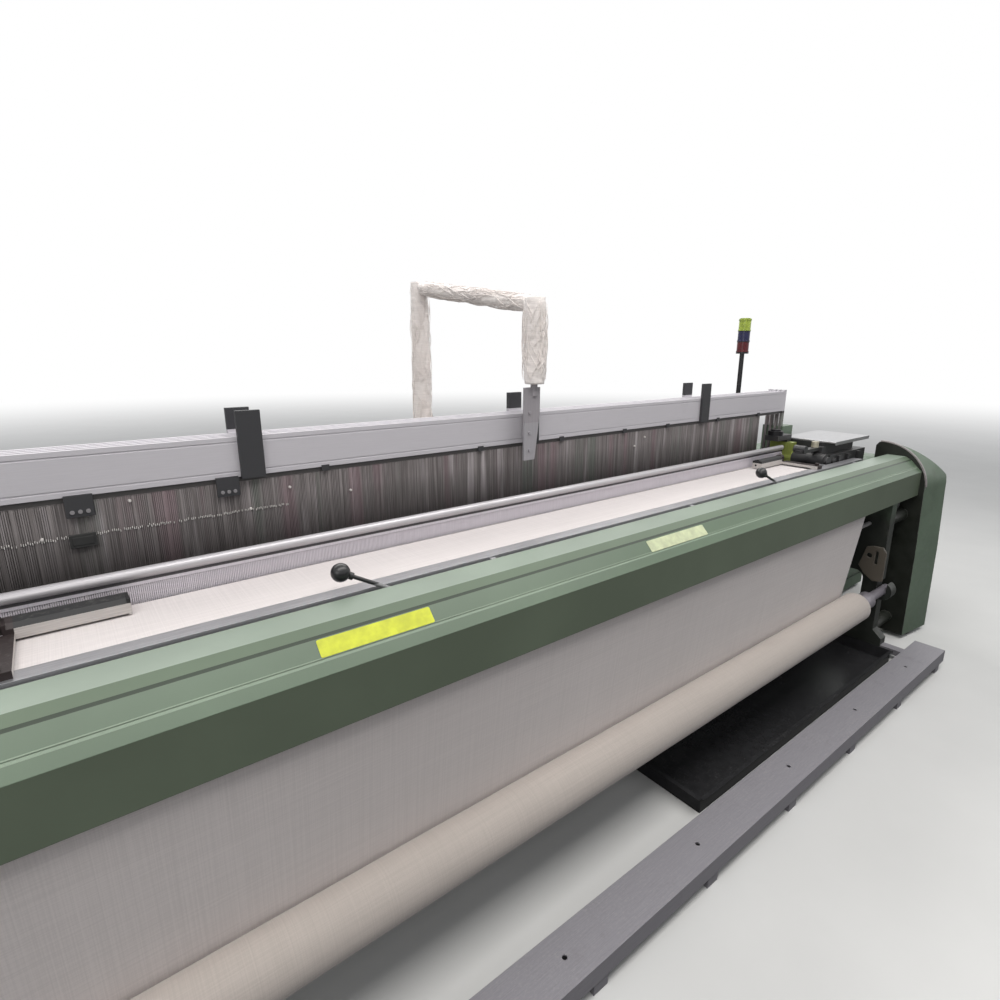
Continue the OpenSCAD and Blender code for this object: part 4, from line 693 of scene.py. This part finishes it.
# Cloth from the fell over the rest rod, behind and under the take-up roller and over the press roller
# to the rear of the cloth roll. CLEAR keeps it off the rolls, and SKIN is half its thickness there.
ROD_R = 15 * MM
ROLL_R = roll_radius("cloth_roll")
CLEAR = 0.3 * MM
SKIN = 1.2 * MM


def arc_points(centre, radius, start, end, steps):
    """Points on an arc from one angle to another, in degrees."""
    return [(centre[0] + radius * math.cos(math.radians(start + (end - start) * k / steps)),
             centre[1] + radius * math.sin(math.radians(start + (end - start) * k / steps)))
            for k in range(steps + 1)]


def bend_angle(a, b):
    """Direction from a to b, in degrees."""
    return math.degrees(math.atan2(b[1] - a[1], b[0] - a[0]))


def crossing(a, ra, b, rb):
    """Angle of the normal where the cloth crosses from one roll to the other side of the next."""
    return bend_angle(a, b) - math.degrees(math.acos((ra + rb) / math.dist(a, b))) + 360


def subdivide(a, b, count):
    """Points between a and b."""
    return [(a[0] + (b[0] - a[0]) * k / count, a[1] + (b[1] - a[1]) * k / count) for k in range(1, count)]


rod_axis = (bar_hi.y - 20 * MM, CLOTH_Z - CLEAR - ROD_R)
takeup_axis = centre_yz("takeup_roller")
press_axis = centre_yz("press_roller")
roll_axis = centre_yz("cloth_roll")
rod_path = ROD_R + CLEAR + SKIN
takeup_path = roll_radius("takeup_roller") + CLEAR + SKIN
press_path = roll_radius("press_roller") + CLEAR + SKIN
roll_path = ROLL_R + CLEAR + SKIN

leave_rod = crossing(rod_axis, rod_path, takeup_axis, takeup_path)
leave_press = crossing(press_axis, press_path, roll_axis, roll_path)
on_roll = (roll_axis[0] - roll_path * math.cos(math.radians(leave_press)),
           roll_axis[1] - roll_path * math.sin(math.radians(leave_press)))
on_rod = arc_points(rod_axis, rod_path, 90, leave_rod, 6)
on_takeup = arc_points(takeup_axis, takeup_path, leave_rod - 180, -180, 24)
on_press = arc_points(press_axis, press_path, 0, leave_press, 16)
fell = (FELL_Y, CLOTH_Z + SKIN)
cloth_path = ([fell] + subdivide(fell, on_rod[0], 10) + on_rod + on_takeup + on_press
              + subdivide(on_press[-1], on_roll, 30) + [on_roll])
drop_length = math.dist(on_press[-1], on_roll)
route_length = sum(math.dist(p, q) for p, q in zip(cloth_path, cloth_path[1:]))
SELVEDGE = 0.14
FADE = 0.15


def cloth_wave(x, s):
    """Slight slackness of the drop and a faint puckering near the selvedges."""
    edge = max(0.0, (abs(x) - HALF + SELVEDGE) / SELVEDGE)
    down = s - (route_length - drop_length)
    free = max(0.0, min(1.0, down / FADE)) * max(0.0, min(1.0, (drop_length - down) / FADE))
    slack = noise.noise(Vector((x * 1.6, s * 0.7, 0.0))) * 1.1 * MM
    tug = math.sin(x * 95 + 3 * s) * 0.5 * MM * edge
    return free * (slack + tug)


cloth, cloth_length = strip_tube(cloth_path, -HALF, HALF, mat_cloth, "woven_cloth", "root", 220, cloth_wave)
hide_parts("cloth_sheet")

# Cloth roll on its core, with uneven edges where the layers of cloth end
WOUND_HALF = 1.591
WOUND_BORE = 24 * MM
LAYERS = 15
WOUND_STEPS = 160
END_STEP = 5 * MM
SCATTER_MM = 3.5
layer_radii = [0.026 + (ROLL_R - 0.027) * k / LAYERS for k in range(LAYERS)]
rng = np.random.default_rng(7)
profile = [(-WOUND_HALF, WOUND_BORE)]
for r in layer_radii:
    profile.append((-WOUND_HALF + rng.uniform(0.0, SCATTER_MM) * MM, r))
for k in range(WOUND_STEPS + 1):
    x = -WOUND_HALF + END_STEP + 2 * (WOUND_HALF - END_STEP) * k / WOUND_STEPS
    profile.append((x, ROLL_R - 0.5 * MM + 0.45 * MM * noise.noise(Vector((x * 5.0, 0.3, 1.7)))))
for r in reversed(layer_radii):
    profile.append((WOUND_HALF - rng.uniform(0.0, SCATTER_MM) * MM, r))
profile.append((WOUND_HALF, WOUND_BORE))
verts, faces = lathe(profile, 72, round_x(*roll_axis))
# The wound cloth takes the darker copy of the cloth material, which stands for painted shade
piece("cloth_roll_wound", verts, faces, mat_roll_shaded, "cloth_roll", True, ["cloth_roll"])

CORE_R = 22 * MM
SLEEVE_BORE = 22.5 * MM
SLEEVE_R = 42 * MM
SLEEVE_LEN = 130 * MM
SLEEVE_GAP = 5 * MM


def roll_sleeve(x):
    """The sleeve on the core whose left end is at x."""
    outside = chamfered(x, x + SLEEVE_LEN, SLEEVE_R, 3 * MM, 2 * MM)
    return lathe([(x, SLEEVE_BORE)] + outside + [(x + SLEEVE_LEN, SLEEVE_BORE)], 48, round_x(*roll_axis))


core_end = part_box("cloth_roll")[1].x
core = lathe(chamfered(-core_end, core_end, CORE_R, 3 * MM, 3 * MM), 40, round_x(*roll_axis))
mat_core = steel("roll_core_metal", (0.24, 0.22, 0.25), 0.42, 0.3, 0.3, 0.1)
verts, faces = join([core, roll_sleeve(-HALF - SLEEVE_GAP - SLEEVE_LEN), roll_sleeve(HALF + SLEEVE_GAP)])
piece("cloth_roll_core", verts, faces, mat_core, "cloth_roll", True)

# Warp as fine yarns that get thicker behind the heald frames and leave room for the gantry's post
PACK_R = roll_radius("warp_yarn")
YARN_LIFT = 1.3 * MM
THIN, THICK = 0.3 * MM, 1.1 * MM
POST_GAP = 23 * MM
whip_axis = centre_yz("whip_roll")
pack_axis = centre_yz("warp_yarn")
whip_path = roll_radius("whip_roll") + YARN_LIFT
pack_path = PACK_R + YARN_LIFT
leave_whip = bend_angle(whip_axis, pack_axis) + math.degrees(
    math.acos((whip_path - pack_path) / math.dist(whip_axis, pack_axis)))
warp_path = [(y, CLOTH_Z + 1 * MM) for y in (FELL_Y, last_hi.y + 4 * MM, last_hi.y + 16 * MM)]
warp_path += arc_points(whip_axis, whip_path, 90, leave_whip, 6)
warp_path += arc_points(pack_axis, pack_path, leave_whip, leave_whip - 1, 1)
post_lo, post_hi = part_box("gantry_yarn")
post_x = (post_lo.x + post_hi.x) / 2
verts, faces = [], []
for x in cell_positions(YARN_OFFSETS):
    if abs(x - post_x) < POST_GAP:
        continue
    base = len(verts)
    for y, z in warp_path:
        w = THIN if y < last_hi.y + 10 * MM else THICK
        verts += [(x - w, y, z), (x, y, z + 0.6 * MM), (x + w, y, z)]
    for k in range(len(warp_path) - 1):
        i = base + 3 * k
        faces += [(i, i + 1, i + 4, i + 3), (i + 1, i + 2, i + 5, i + 4)]
piece("warp_ends", verts, faces, mat_warp, "root", False, ["warp_sheet"])

# Warp wound on the beam
RIDGES = 400
PACK_BORE = 76.5 * MM
pack_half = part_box("warp_yarn")[1].x
ridges = [(-pack_half, PACK_BORE)]
for k in range(RIDGES + 1):
    x = -pack_half + 2 * pack_half * k / RIDGES
    depth = (0.2 if k % 2 else 1.6) * MM
    ridges.append((x, PACK_R - depth - 0.8 * MM * abs(noise.noise(Vector((x * 3, 0, 0))))))
ridges.append((pack_half, PACK_BORE))
verts, faces = lathe(ridges, 96, round_x(*pack_axis))
piece("wound_warp", verts, faces, mat_warp, "warp_beam", True, ["warp_yarn"])

# Reed with fine dents, and painted shadow under its cap
CAP_R = 12.5 * MM
DENT_HALF = 1.5 * MM
reed_y = (reed_lo.y + reed_hi.y) / 2
cap_z = reed_hi.z - CAP_R
baulk_top = CLOTH_Z - 18 * MM
dents = [(x - DENT_HALF, x + DENT_HALF, reed_y - 2.4 * MM, reed_y + 2.4 * MM, baulk_top - MM, cap_z - 16 * MM)
         for x in cell_positions(BETWEEN_OFFSETS)]
half_reed = reed_hi.x
frame_bars = [
    (-half_reed, half_reed, reed_lo.y, reed_hi.y, reed_lo.z, baulk_top),
    (-half_reed, half_reed, reed_y - 4 * MM, reed_y + 4 * MM, cap_z - 26.5 * MM, cap_z - 10 * MM),
    (-half_reed, -half_reed + 8 * MM, reed_y - 4 * MM, reed_y + 4 * MM, baulk_top - MM, cap_z),
    (half_reed - 8 * MM, half_reed, reed_y - 4 * MM, reed_y + 4 * MM, baulk_top - MM, cap_z),
]
mat_dent = steel("reed_dents", (0.66, 0.62, 0.67), 0.55, 0.1, 0.1, 0.0, [
    # Painted shadow: everything above 19 mm under the cap's axis is dark, as the cap's shadow on the rail and
    # the dents' tops
    ((None, None, cap_z - 19 * MM), ANYWHERE, (0.07, 0.065, 0.07)),
], along="z", draw=0.5)
verts, faces = boxes(dents + frame_bars)
piece("reed_dents", verts, faces, mat_dent, "sley", False, ["reed"])
verts, faces = lathe(chamfered(-half_reed, half_reed, CAP_R, 2 * MM, 2 * MM), 32, round_x(reed_y, cap_z))
mat_cap = steel("reed_cap_metal", (0.52, 0.50, 0.52), 0.36, 0.35, 0.12, 0, draw=0.4)
piece("reed_cap", verts, faces, mat_cap, "sley", True)

# Fine heddles on each heald frame
EYE_LOW, EYE_HIGH = 0.960, 1.038
EYE_HALF = 1.3 * MM
WIRE_HALF = 1.4 * MM
CLOSED_HALF = 1.97 * MM
RAIL_T = 12 * MM
face_y = heald_lo.y + HEALD_FRONT
even_x = cell_positions(EVEN_OFFSETS)


def heddle_rows(index):
    """Boxes of a frame's eyes and wires. The middle frames' wires stand in the gaps of the first one's,
    and the last frame's wires are wide enough to close the view."""
    y = face_y + index * HEALD_PITCH + HEALD_T / 2
    shift = DENT_PITCH_MM / 2 * MM if index in (1, 2) else 0.0
    half = CLOSED_HALF if index == 3 else WIRE_HALF
    rows = [(x - EYE_HALF, x + EYE_HALF, y - 2.5 * MM, y + 2.5 * MM, EYE_LOW, EYE_HIGH)
            for x in cell_positions(GAP_OFFSETS)]
    for x in even_x + shift:
        for z0, z1 in ((LOWER_TOP + RAIL_T, EYE_LOW), (EYE_HIGH, STAVE_Z - RAIL_T)):
            rows.append((x - half, x + half, y - 1.2 * MM, y + 1.2 * MM, z0, z1))
    return rows


mat_heddle, tree, bsdf = new_material("heddle_steel", 0.62, 0.1)
grain = noise_at(tree, coords(tree, (60.0, 60.0, 1.0)), 5.0, 3.0)
finish_surface(tree, bsdf, heddle_tone_and_shade(tree), grain, 0.1, 0.2 * MM)
mat_eye = steel("heddle_eyes", (0.66, 0.63, 0.61), 0.5, 0.1, 0.05, 0, along="z", draw=0.5)
for index in range(4):
    verts, faces = boxes(heddle_rows(index))
    piece(f"heddles_{index + 1}", verts, faces, mat_heddle, f"heald_{index + 1}")

# A row of bright eyes at the left, a clamp and some dots of lint, all on the front of the first frame
FRONT_DEPTH = 4.9 * MM
ROW_LOW, ROW_HIGH = 1.136, 1.141
ROW_END_X = -0.87
ROW_SHARE = 0.85
heights, chances = np.random.default_rng(5).uniform([[ROW_LOW], [0]], [[ROW_HIGH], [1]], (2, len(even_x)))
eyes = [(x - 0.9 * MM, x + 0.9 * MM, face_y + 2.6 * MM, face_y + FRONT_DEPTH, z, z + 5 * MM)
        for x, z, chance in zip(even_x, heights, chances) if chance < ROW_SHARE and x < ROW_END_X]
verts, faces = boxes(eyes)
piece("heddle_eyes", verts, faces, mat_eye, "heald_1")

CLAMP_X, CLAMP_Z = -1.342, 1.131


def clamp_block(half_x, front, half_z):
    """A block of the clamp that stands out by front."""
    return (CLAMP_X - half_x, CLAMP_X + half_x, face_y - front, face_y + FRONT_DEPTH,
            CLAMP_Z - half_z, CLAMP_Z + half_z)


verts, faces = boxes([clamp_block(26 * MM, 4 * MM, 15 * MM), clamp_block(20 * MM, 5 * MM, 9 * MM)])
piece("heddle_clamp", verts, faces, mat_rubber, "heald_1")

LINT = [(-0.692, 1.154), (0.585, 1.160), (0.648, 1.193), (-0.974, 1.144),
        (-1.415, 1.146), (-1.241, 1.208), (-0.867, 1.188)]
LINT_R = 3.6 * MM
dot = [(face_y + FRONT_DEPTH, LINT_R), (face_y + 0.5 * MM, LINT_R), (face_y - 1 * MM, LINT_R - 0.8 * MM)]
verts, faces = join([lathe(dot, 16, round_y(x, z)) for x, z in LINT])
piece("heddle_bolts", verts, faces, mat_eye, "heald_1")

# Fluffy yarn on the gantry
WRAP_ROW = 0.006
STRAND_R = 1.5 * MM


def fluff(name, start, end, radius, seed, tails):
    """A soft uneven wrap round the line from start to end, with raised turns and loose strands."""
    start, end = Vector(start), Vector(end)
    axis = (end - start).normalized()
    side = axis.orthogonal().normalized()
    other = axis.cross(side)
    length = (end - start).length
    rows = max(40, int(length / WRAP_ROW))
    steps = 56

    def at(along, angle, r):
        return start + axis * along + (side * math.cos(angle) + other * math.sin(angle)) * r

    verts, faces = [], []
    for i in range(rows + 1):
        along = length * i / rows
        swell = 1.0 - 0.12 * abs(2 * i / rows - 1) ** 8
        for k in range(steps):
            a = 2 * math.pi * k / steps
            broad = noise.noise(Vector((math.cos(a) * 1.3, math.sin(a) * 1.3, along * 7.0 + seed)))
            turns = noise.noise(Vector((math.cos(a) * 1.2, math.sin(a) * 1.2, along * 85.0 + seed + a)))
            fuzz = noise.noise(Vector((math.cos(a) * 9.0, math.sin(a) * 9.0, along * 130.0 + seed)))
            point = at(along, a, radius * swell * (0.84 + 0.09 * broad + 0.06 * turns + 0.035 * fuzz))
            verts.append((point.x, point.y, min(point.z, post_hi.z - 1.5 * MM)))
    for i in range(rows):
        for k in range(steps):
            t = (k + 1) % steps
            faces.append((i * steps + k, i * steps + t, (i + 1) * steps + t, (i + 1) * steps + k))
    faces.append(tuple(reversed(range(steps))))
    faces.append(tuple(rows * steps + k for k in range(steps)))
    parts = [(verts, faces)]
    local = np.random.default_rng(seed)
    for _ in range(tails):
        a = local.uniform(0, 2 * math.pi)
        run = min(local.uniform(0.03, 0.16), 0.8 * length)
        low = local.uniform(0.01, length - run - 0.005)
        spin = local.uniform(-1.2, 1.2)
        lift_off = local.uniform(0.0, 0.1)
        points = []
        for k in range(9):
            f = k / 8
            points.append(at(low + run * f, a + spin * f, radius * (0.88 + lift_off * math.sin(math.pi * f))))
        parts.append(tube(points, lambda f: STRAND_R * (1.05 - 0.6 * abs(2 * f - 1)), 5))
    verts, faces = join(parts)
    return piece(name, verts, faces, mat_yarn, "root", True)


back_y, front_y = 0.323, -0.433
BACK_WRAP = 1.121, 1.833
FRONT_WRAP = 1.441, 1.723
BAR_FRONT_Z = 1.700
BAR_RISE = 0.110


def on_bar(y):
    """A point on the gantry's bar, which rises towards the back."""
    return post_x, y, BAR_FRONT_Z + (y - front_y) * BAR_RISE / (back_y - front_y)


back_low, back_high = [(post_x, back_y, z) for z in BACK_WRAP]
front_low, front_high = [(post_x, front_y, z) for z in FRONT_WRAP]
post = fluff("yarn_wrap_back", back_low, back_high, 46 * MM, 3, 150)
fluff("yarn_wrap_front", front_low, front_high, 45 * MM, 11, 90)
fluff("yarn_wrap_bar", on_bar(front_y + 0.010), on_bar(back_y - 0.020), 33 * MM, 19, 180)
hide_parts("gantry_yarn")

# Cones of weft, with the radii at some shares of their length
CONE_LEN = 0.162
CONE_BORE = 13 * MM
CONE_TURNS = 60
CONE_SHARES = (0.0, 0.08, 0.93, 1.0)
CONE_RADII = (0.090, 0.103, 0.084, 0.070)
cone_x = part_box("weft_packages")[0].x
outline = [(cone_x, CONE_BORE), (cone_x, CONE_RADII[0] - 4 * MM)]
for k in range(CONE_TURNS + 1):
    f = k / CONE_TURNS
    groove = (1.2 if k % 2 else 0.2) * MM
    outline.append((cone_x + CONE_LEN * f, float(np.interp(f, CONE_SHARES, CONE_RADII)) - groove))
outline.append((cone_x + CONE_LEN, CONE_BORE))
for index, (y, z) in enumerate([(y, z) for y in (-0.42, -0.14) for z in (0.97, 1.39)]):
    verts, faces = lathe(outline, 56, round_x(y, z))
    wound = piece(f"weft_cone_{index + 1}", verts, faces, mat_cone, "root", True)
    if index == 0:
        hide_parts("weft_packages")

# Bare plates on the beam cover
slope_low = (cover_lo.y, CLOTH_Z - 60 * MM)
slope_high = (BEVEL_Y, CLOTH_Z - 6 * MM)


def slope_plate(name, x0, x1, f0, f1, mat, thick=0.8 * MM):
    """A thin plate with rounded corners on the cover's slanted panel, from share f0 to f1 of its height."""
    corner = 4 * MM
    length = math.dist(slope_low, slope_high)
    low, high = f0 * length, f1 * length
    outline = []
    for cx, cv, start in ((x1 - corner, high - corner, 0), (x0 + corner, high - corner, 90),
                          (x0 + corner, low + corner, 180), (x1 - corner, low + corner, 270)):
        for k in range(5):
            a = math.radians(start + 90 * k / 4)
            outline.append((cx + corner * math.cos(a), cv + corner * math.sin(a)))
    dy = (slope_high[0] - slope_low[0]) / length
    dz = (slope_high[1] - slope_low[1]) / length

    def lift(x, v, h):
        return (x, slope_low[0] + dy * v - dz * h, slope_low[1] + dz * v + dy * h)

    sides = len(outline)
    verts = [lift(x, v, 0.05 * MM) for x, v in outline] + [lift(x, v, thick) for x, v in outline]
    faces = [tuple(reversed(range(sides))), tuple(range(sides, 2 * sides))]
    faces += [(k, (k + 1) % sides, sides + (k + 1) % sides, sides + k) for k in range(sides)]
    return piece(name, verts, faces, mat, "root")


mat_yellow = plastic("yellow_plate", (0.58, 0.62, 0.02), 0.45, dust=0.1)
mat_label = plastic("cream_plate", (0.55, 0.60, 0.38), 0.5, dust=0.1)
slope_plate("bare_plate_yellow", -1.01, -0.75, 0.47, 0.97, mat_yellow)
slope_plate("bare_plate_cream", 0.01, 0.30, 0.45, 0.95, mat_label)

# Camera at the photo's place
camera_data = bpy.data.cameras.new("camera")
camera = bpy.data.objects.new("camera", camera_data)
bpy.context.scene.collection.objects.link(camera)
camera_data.sensor_width = 36.0
camera_data.lens = 20.88
camera_data.clip_end = 200.0
camera.location = (-1.36, -1.963, 1.55)
heading, pitch = math.radians(37.7), math.radians(14.4)
sight = Vector((math.sin(heading) * math.cos(pitch), math.cos(heading) * math.cos(pitch), -math.sin(pitch)))
camera.rotation_euler = sight.to_track_quat("-Z", "Y").to_euler()
bpy.context.scene.camera = camera
bpy.context.scene.view_settings.view_transform = "Standard"

# Pale floor that turns into the white background far away
FLOOR = 60
FLOOR_PLAIN, FLOOR_WHITE = 6.0, 22.0
floor_mesh = bpy.data.meshes.new("floor")
floor_mesh.from_pydata([(-FLOOR, -FLOOR, 0), (FLOOR, -FLOOR, 0), (FLOOR, FLOOR, 0), (-FLOOR, FLOOR, 0)], [],
                       [(0, 1, 2, 3)])
floor = bpy.data.objects.new("floor", floor_mesh)
bpy.context.scene.collection.objects.link(floor)
mat_floor, tree, bsdf = new_material("pale_floor", 0.7)
distance = node(tree, "ShaderNodeVectorMath", operation="LENGTH")
tree.links.new(node(tree, "ShaderNodeTexCoord").outputs["Object"], distance.inputs[0])
far = ramp(tree, distance.outputs["Value"], FLOOR_PLAIN, FLOOR_WHITE)
patches = ramp(tree, noise_at(tree, coords(tree), 1.2, 5.0), 0.3, 0.7)
tone = mix(tree, patches, (0.66, 0.66, 0.65), (0.70, 0.70, 0.69))
tree.links.new(tone, bsdf.inputs["Base Color"])
rays = node(tree, "ShaderNodeLightPath")
glow = node(tree, "ShaderNodeEmission")
glow.inputs["Color"].default_value = (1, 1, 1, 1)
dim = node(tree, "ShaderNodeBsdfDiffuse")
dim.inputs["Color"].default_value = (0.2, 0.2, 0.2, 1)
plain = node(tree, "ShaderNodeMixShader")
tree.links.new(rays.outputs["Is Camera Ray"], plain.inputs[0])
tree.links.new(dim.outputs[0], plain.inputs[1])
tree.links.new(bsdf.outputs[0], plain.inputs[2])
blend_floor = node(tree, "ShaderNodeMixShader")
tree.links.new(math_node(tree, "MULTIPLY", far, rays.outputs["Is Camera Ray"]), blend_floor.inputs[0])
tree.links.new(plain.outputs[0], blend_floor.inputs[1])
tree.links.new(glow.outputs[0], blend_floor.inputs[2])
tree.links.new(blend_floor.outputs[0], tree.nodes["Material Output"].inputs["Surface"])
floor_mesh.materials.append(mat_floor)

# Soft sky for the light, and plain white where it is seen or mirrored
world = bpy.data.worlds.new("studio")
bpy.context.scene.world = world
world.use_nodes = True
sky = world.node_tree
background = sky.nodes["Background"]
background.inputs["Strength"].default_value = 0.5
aim = node(sky, "ShaderNodeSeparateXYZ", {"Vector": node(sky, "ShaderNodeTexCoord").outputs["Generated"]})
above = ramp(sky, aim.outputs["Z"], -0.05, 0.75)
sky.links.new(mix(sky, above, (0.26, 0.28, 0.30), (0.95, 0.97, 1.0)), background.inputs["Color"])
white = node(sky, "ShaderNodeBackground")
white.inputs["Color"].default_value = (1, 1, 1, 1)
path = node(sky, "ShaderNodeLightPath")
mirrored = math_node(sky, "MAXIMUM", path.outputs["Is Glossy Ray"], path.outputs["Is Transmission Ray"])
seen = math_node(sky, "MAXIMUM", path.outputs["Is Camera Ray"], mirrored)
both = node(sky, "ShaderNodeMixShader")
sky.links.new(seen, both.inputs[0])
sky.links.new(background.outputs[0], both.inputs[1])
sky.links.new(white.outputs[0], both.inputs[2])
sky.links.new(both.outputs[0], sky.nodes["World Output"].inputs["Surface"])


def lamp(name, place, aim, size, watts, colour=(1.0, 0.98, 0.95)):
    """A soft rectangular lamp that faces aim."""
    data = bpy.data.lights.new(name, "AREA")
    data.shape = "RECTANGLE"
    data.size, data.size_y = size
    data.energy = watts
    data.color = colour
    obj = bpy.data.objects.new(name, data)
    bpy.context.scene.collection.objects.link(obj)
    obj.location = place
    obj.rotation_euler = (Vector(aim) - Vector(place)).to_track_quat("-Z", "Y").to_euler()


lamp("ceiling_front", (0.0, -2.0, 4.2), (0.0, -0.5, 0.8), (7.0, 1.6), 150)
lamp("ceiling_back", (0.6, 2.2, 4.2), (0.3, 0.0, 0.9), (7.0, 1.6), 140)
lamp("side_fill", (-5.0, -3.0, 2.6), (0.0, -0.6, 0.7), (3.0, 2.0), 35)
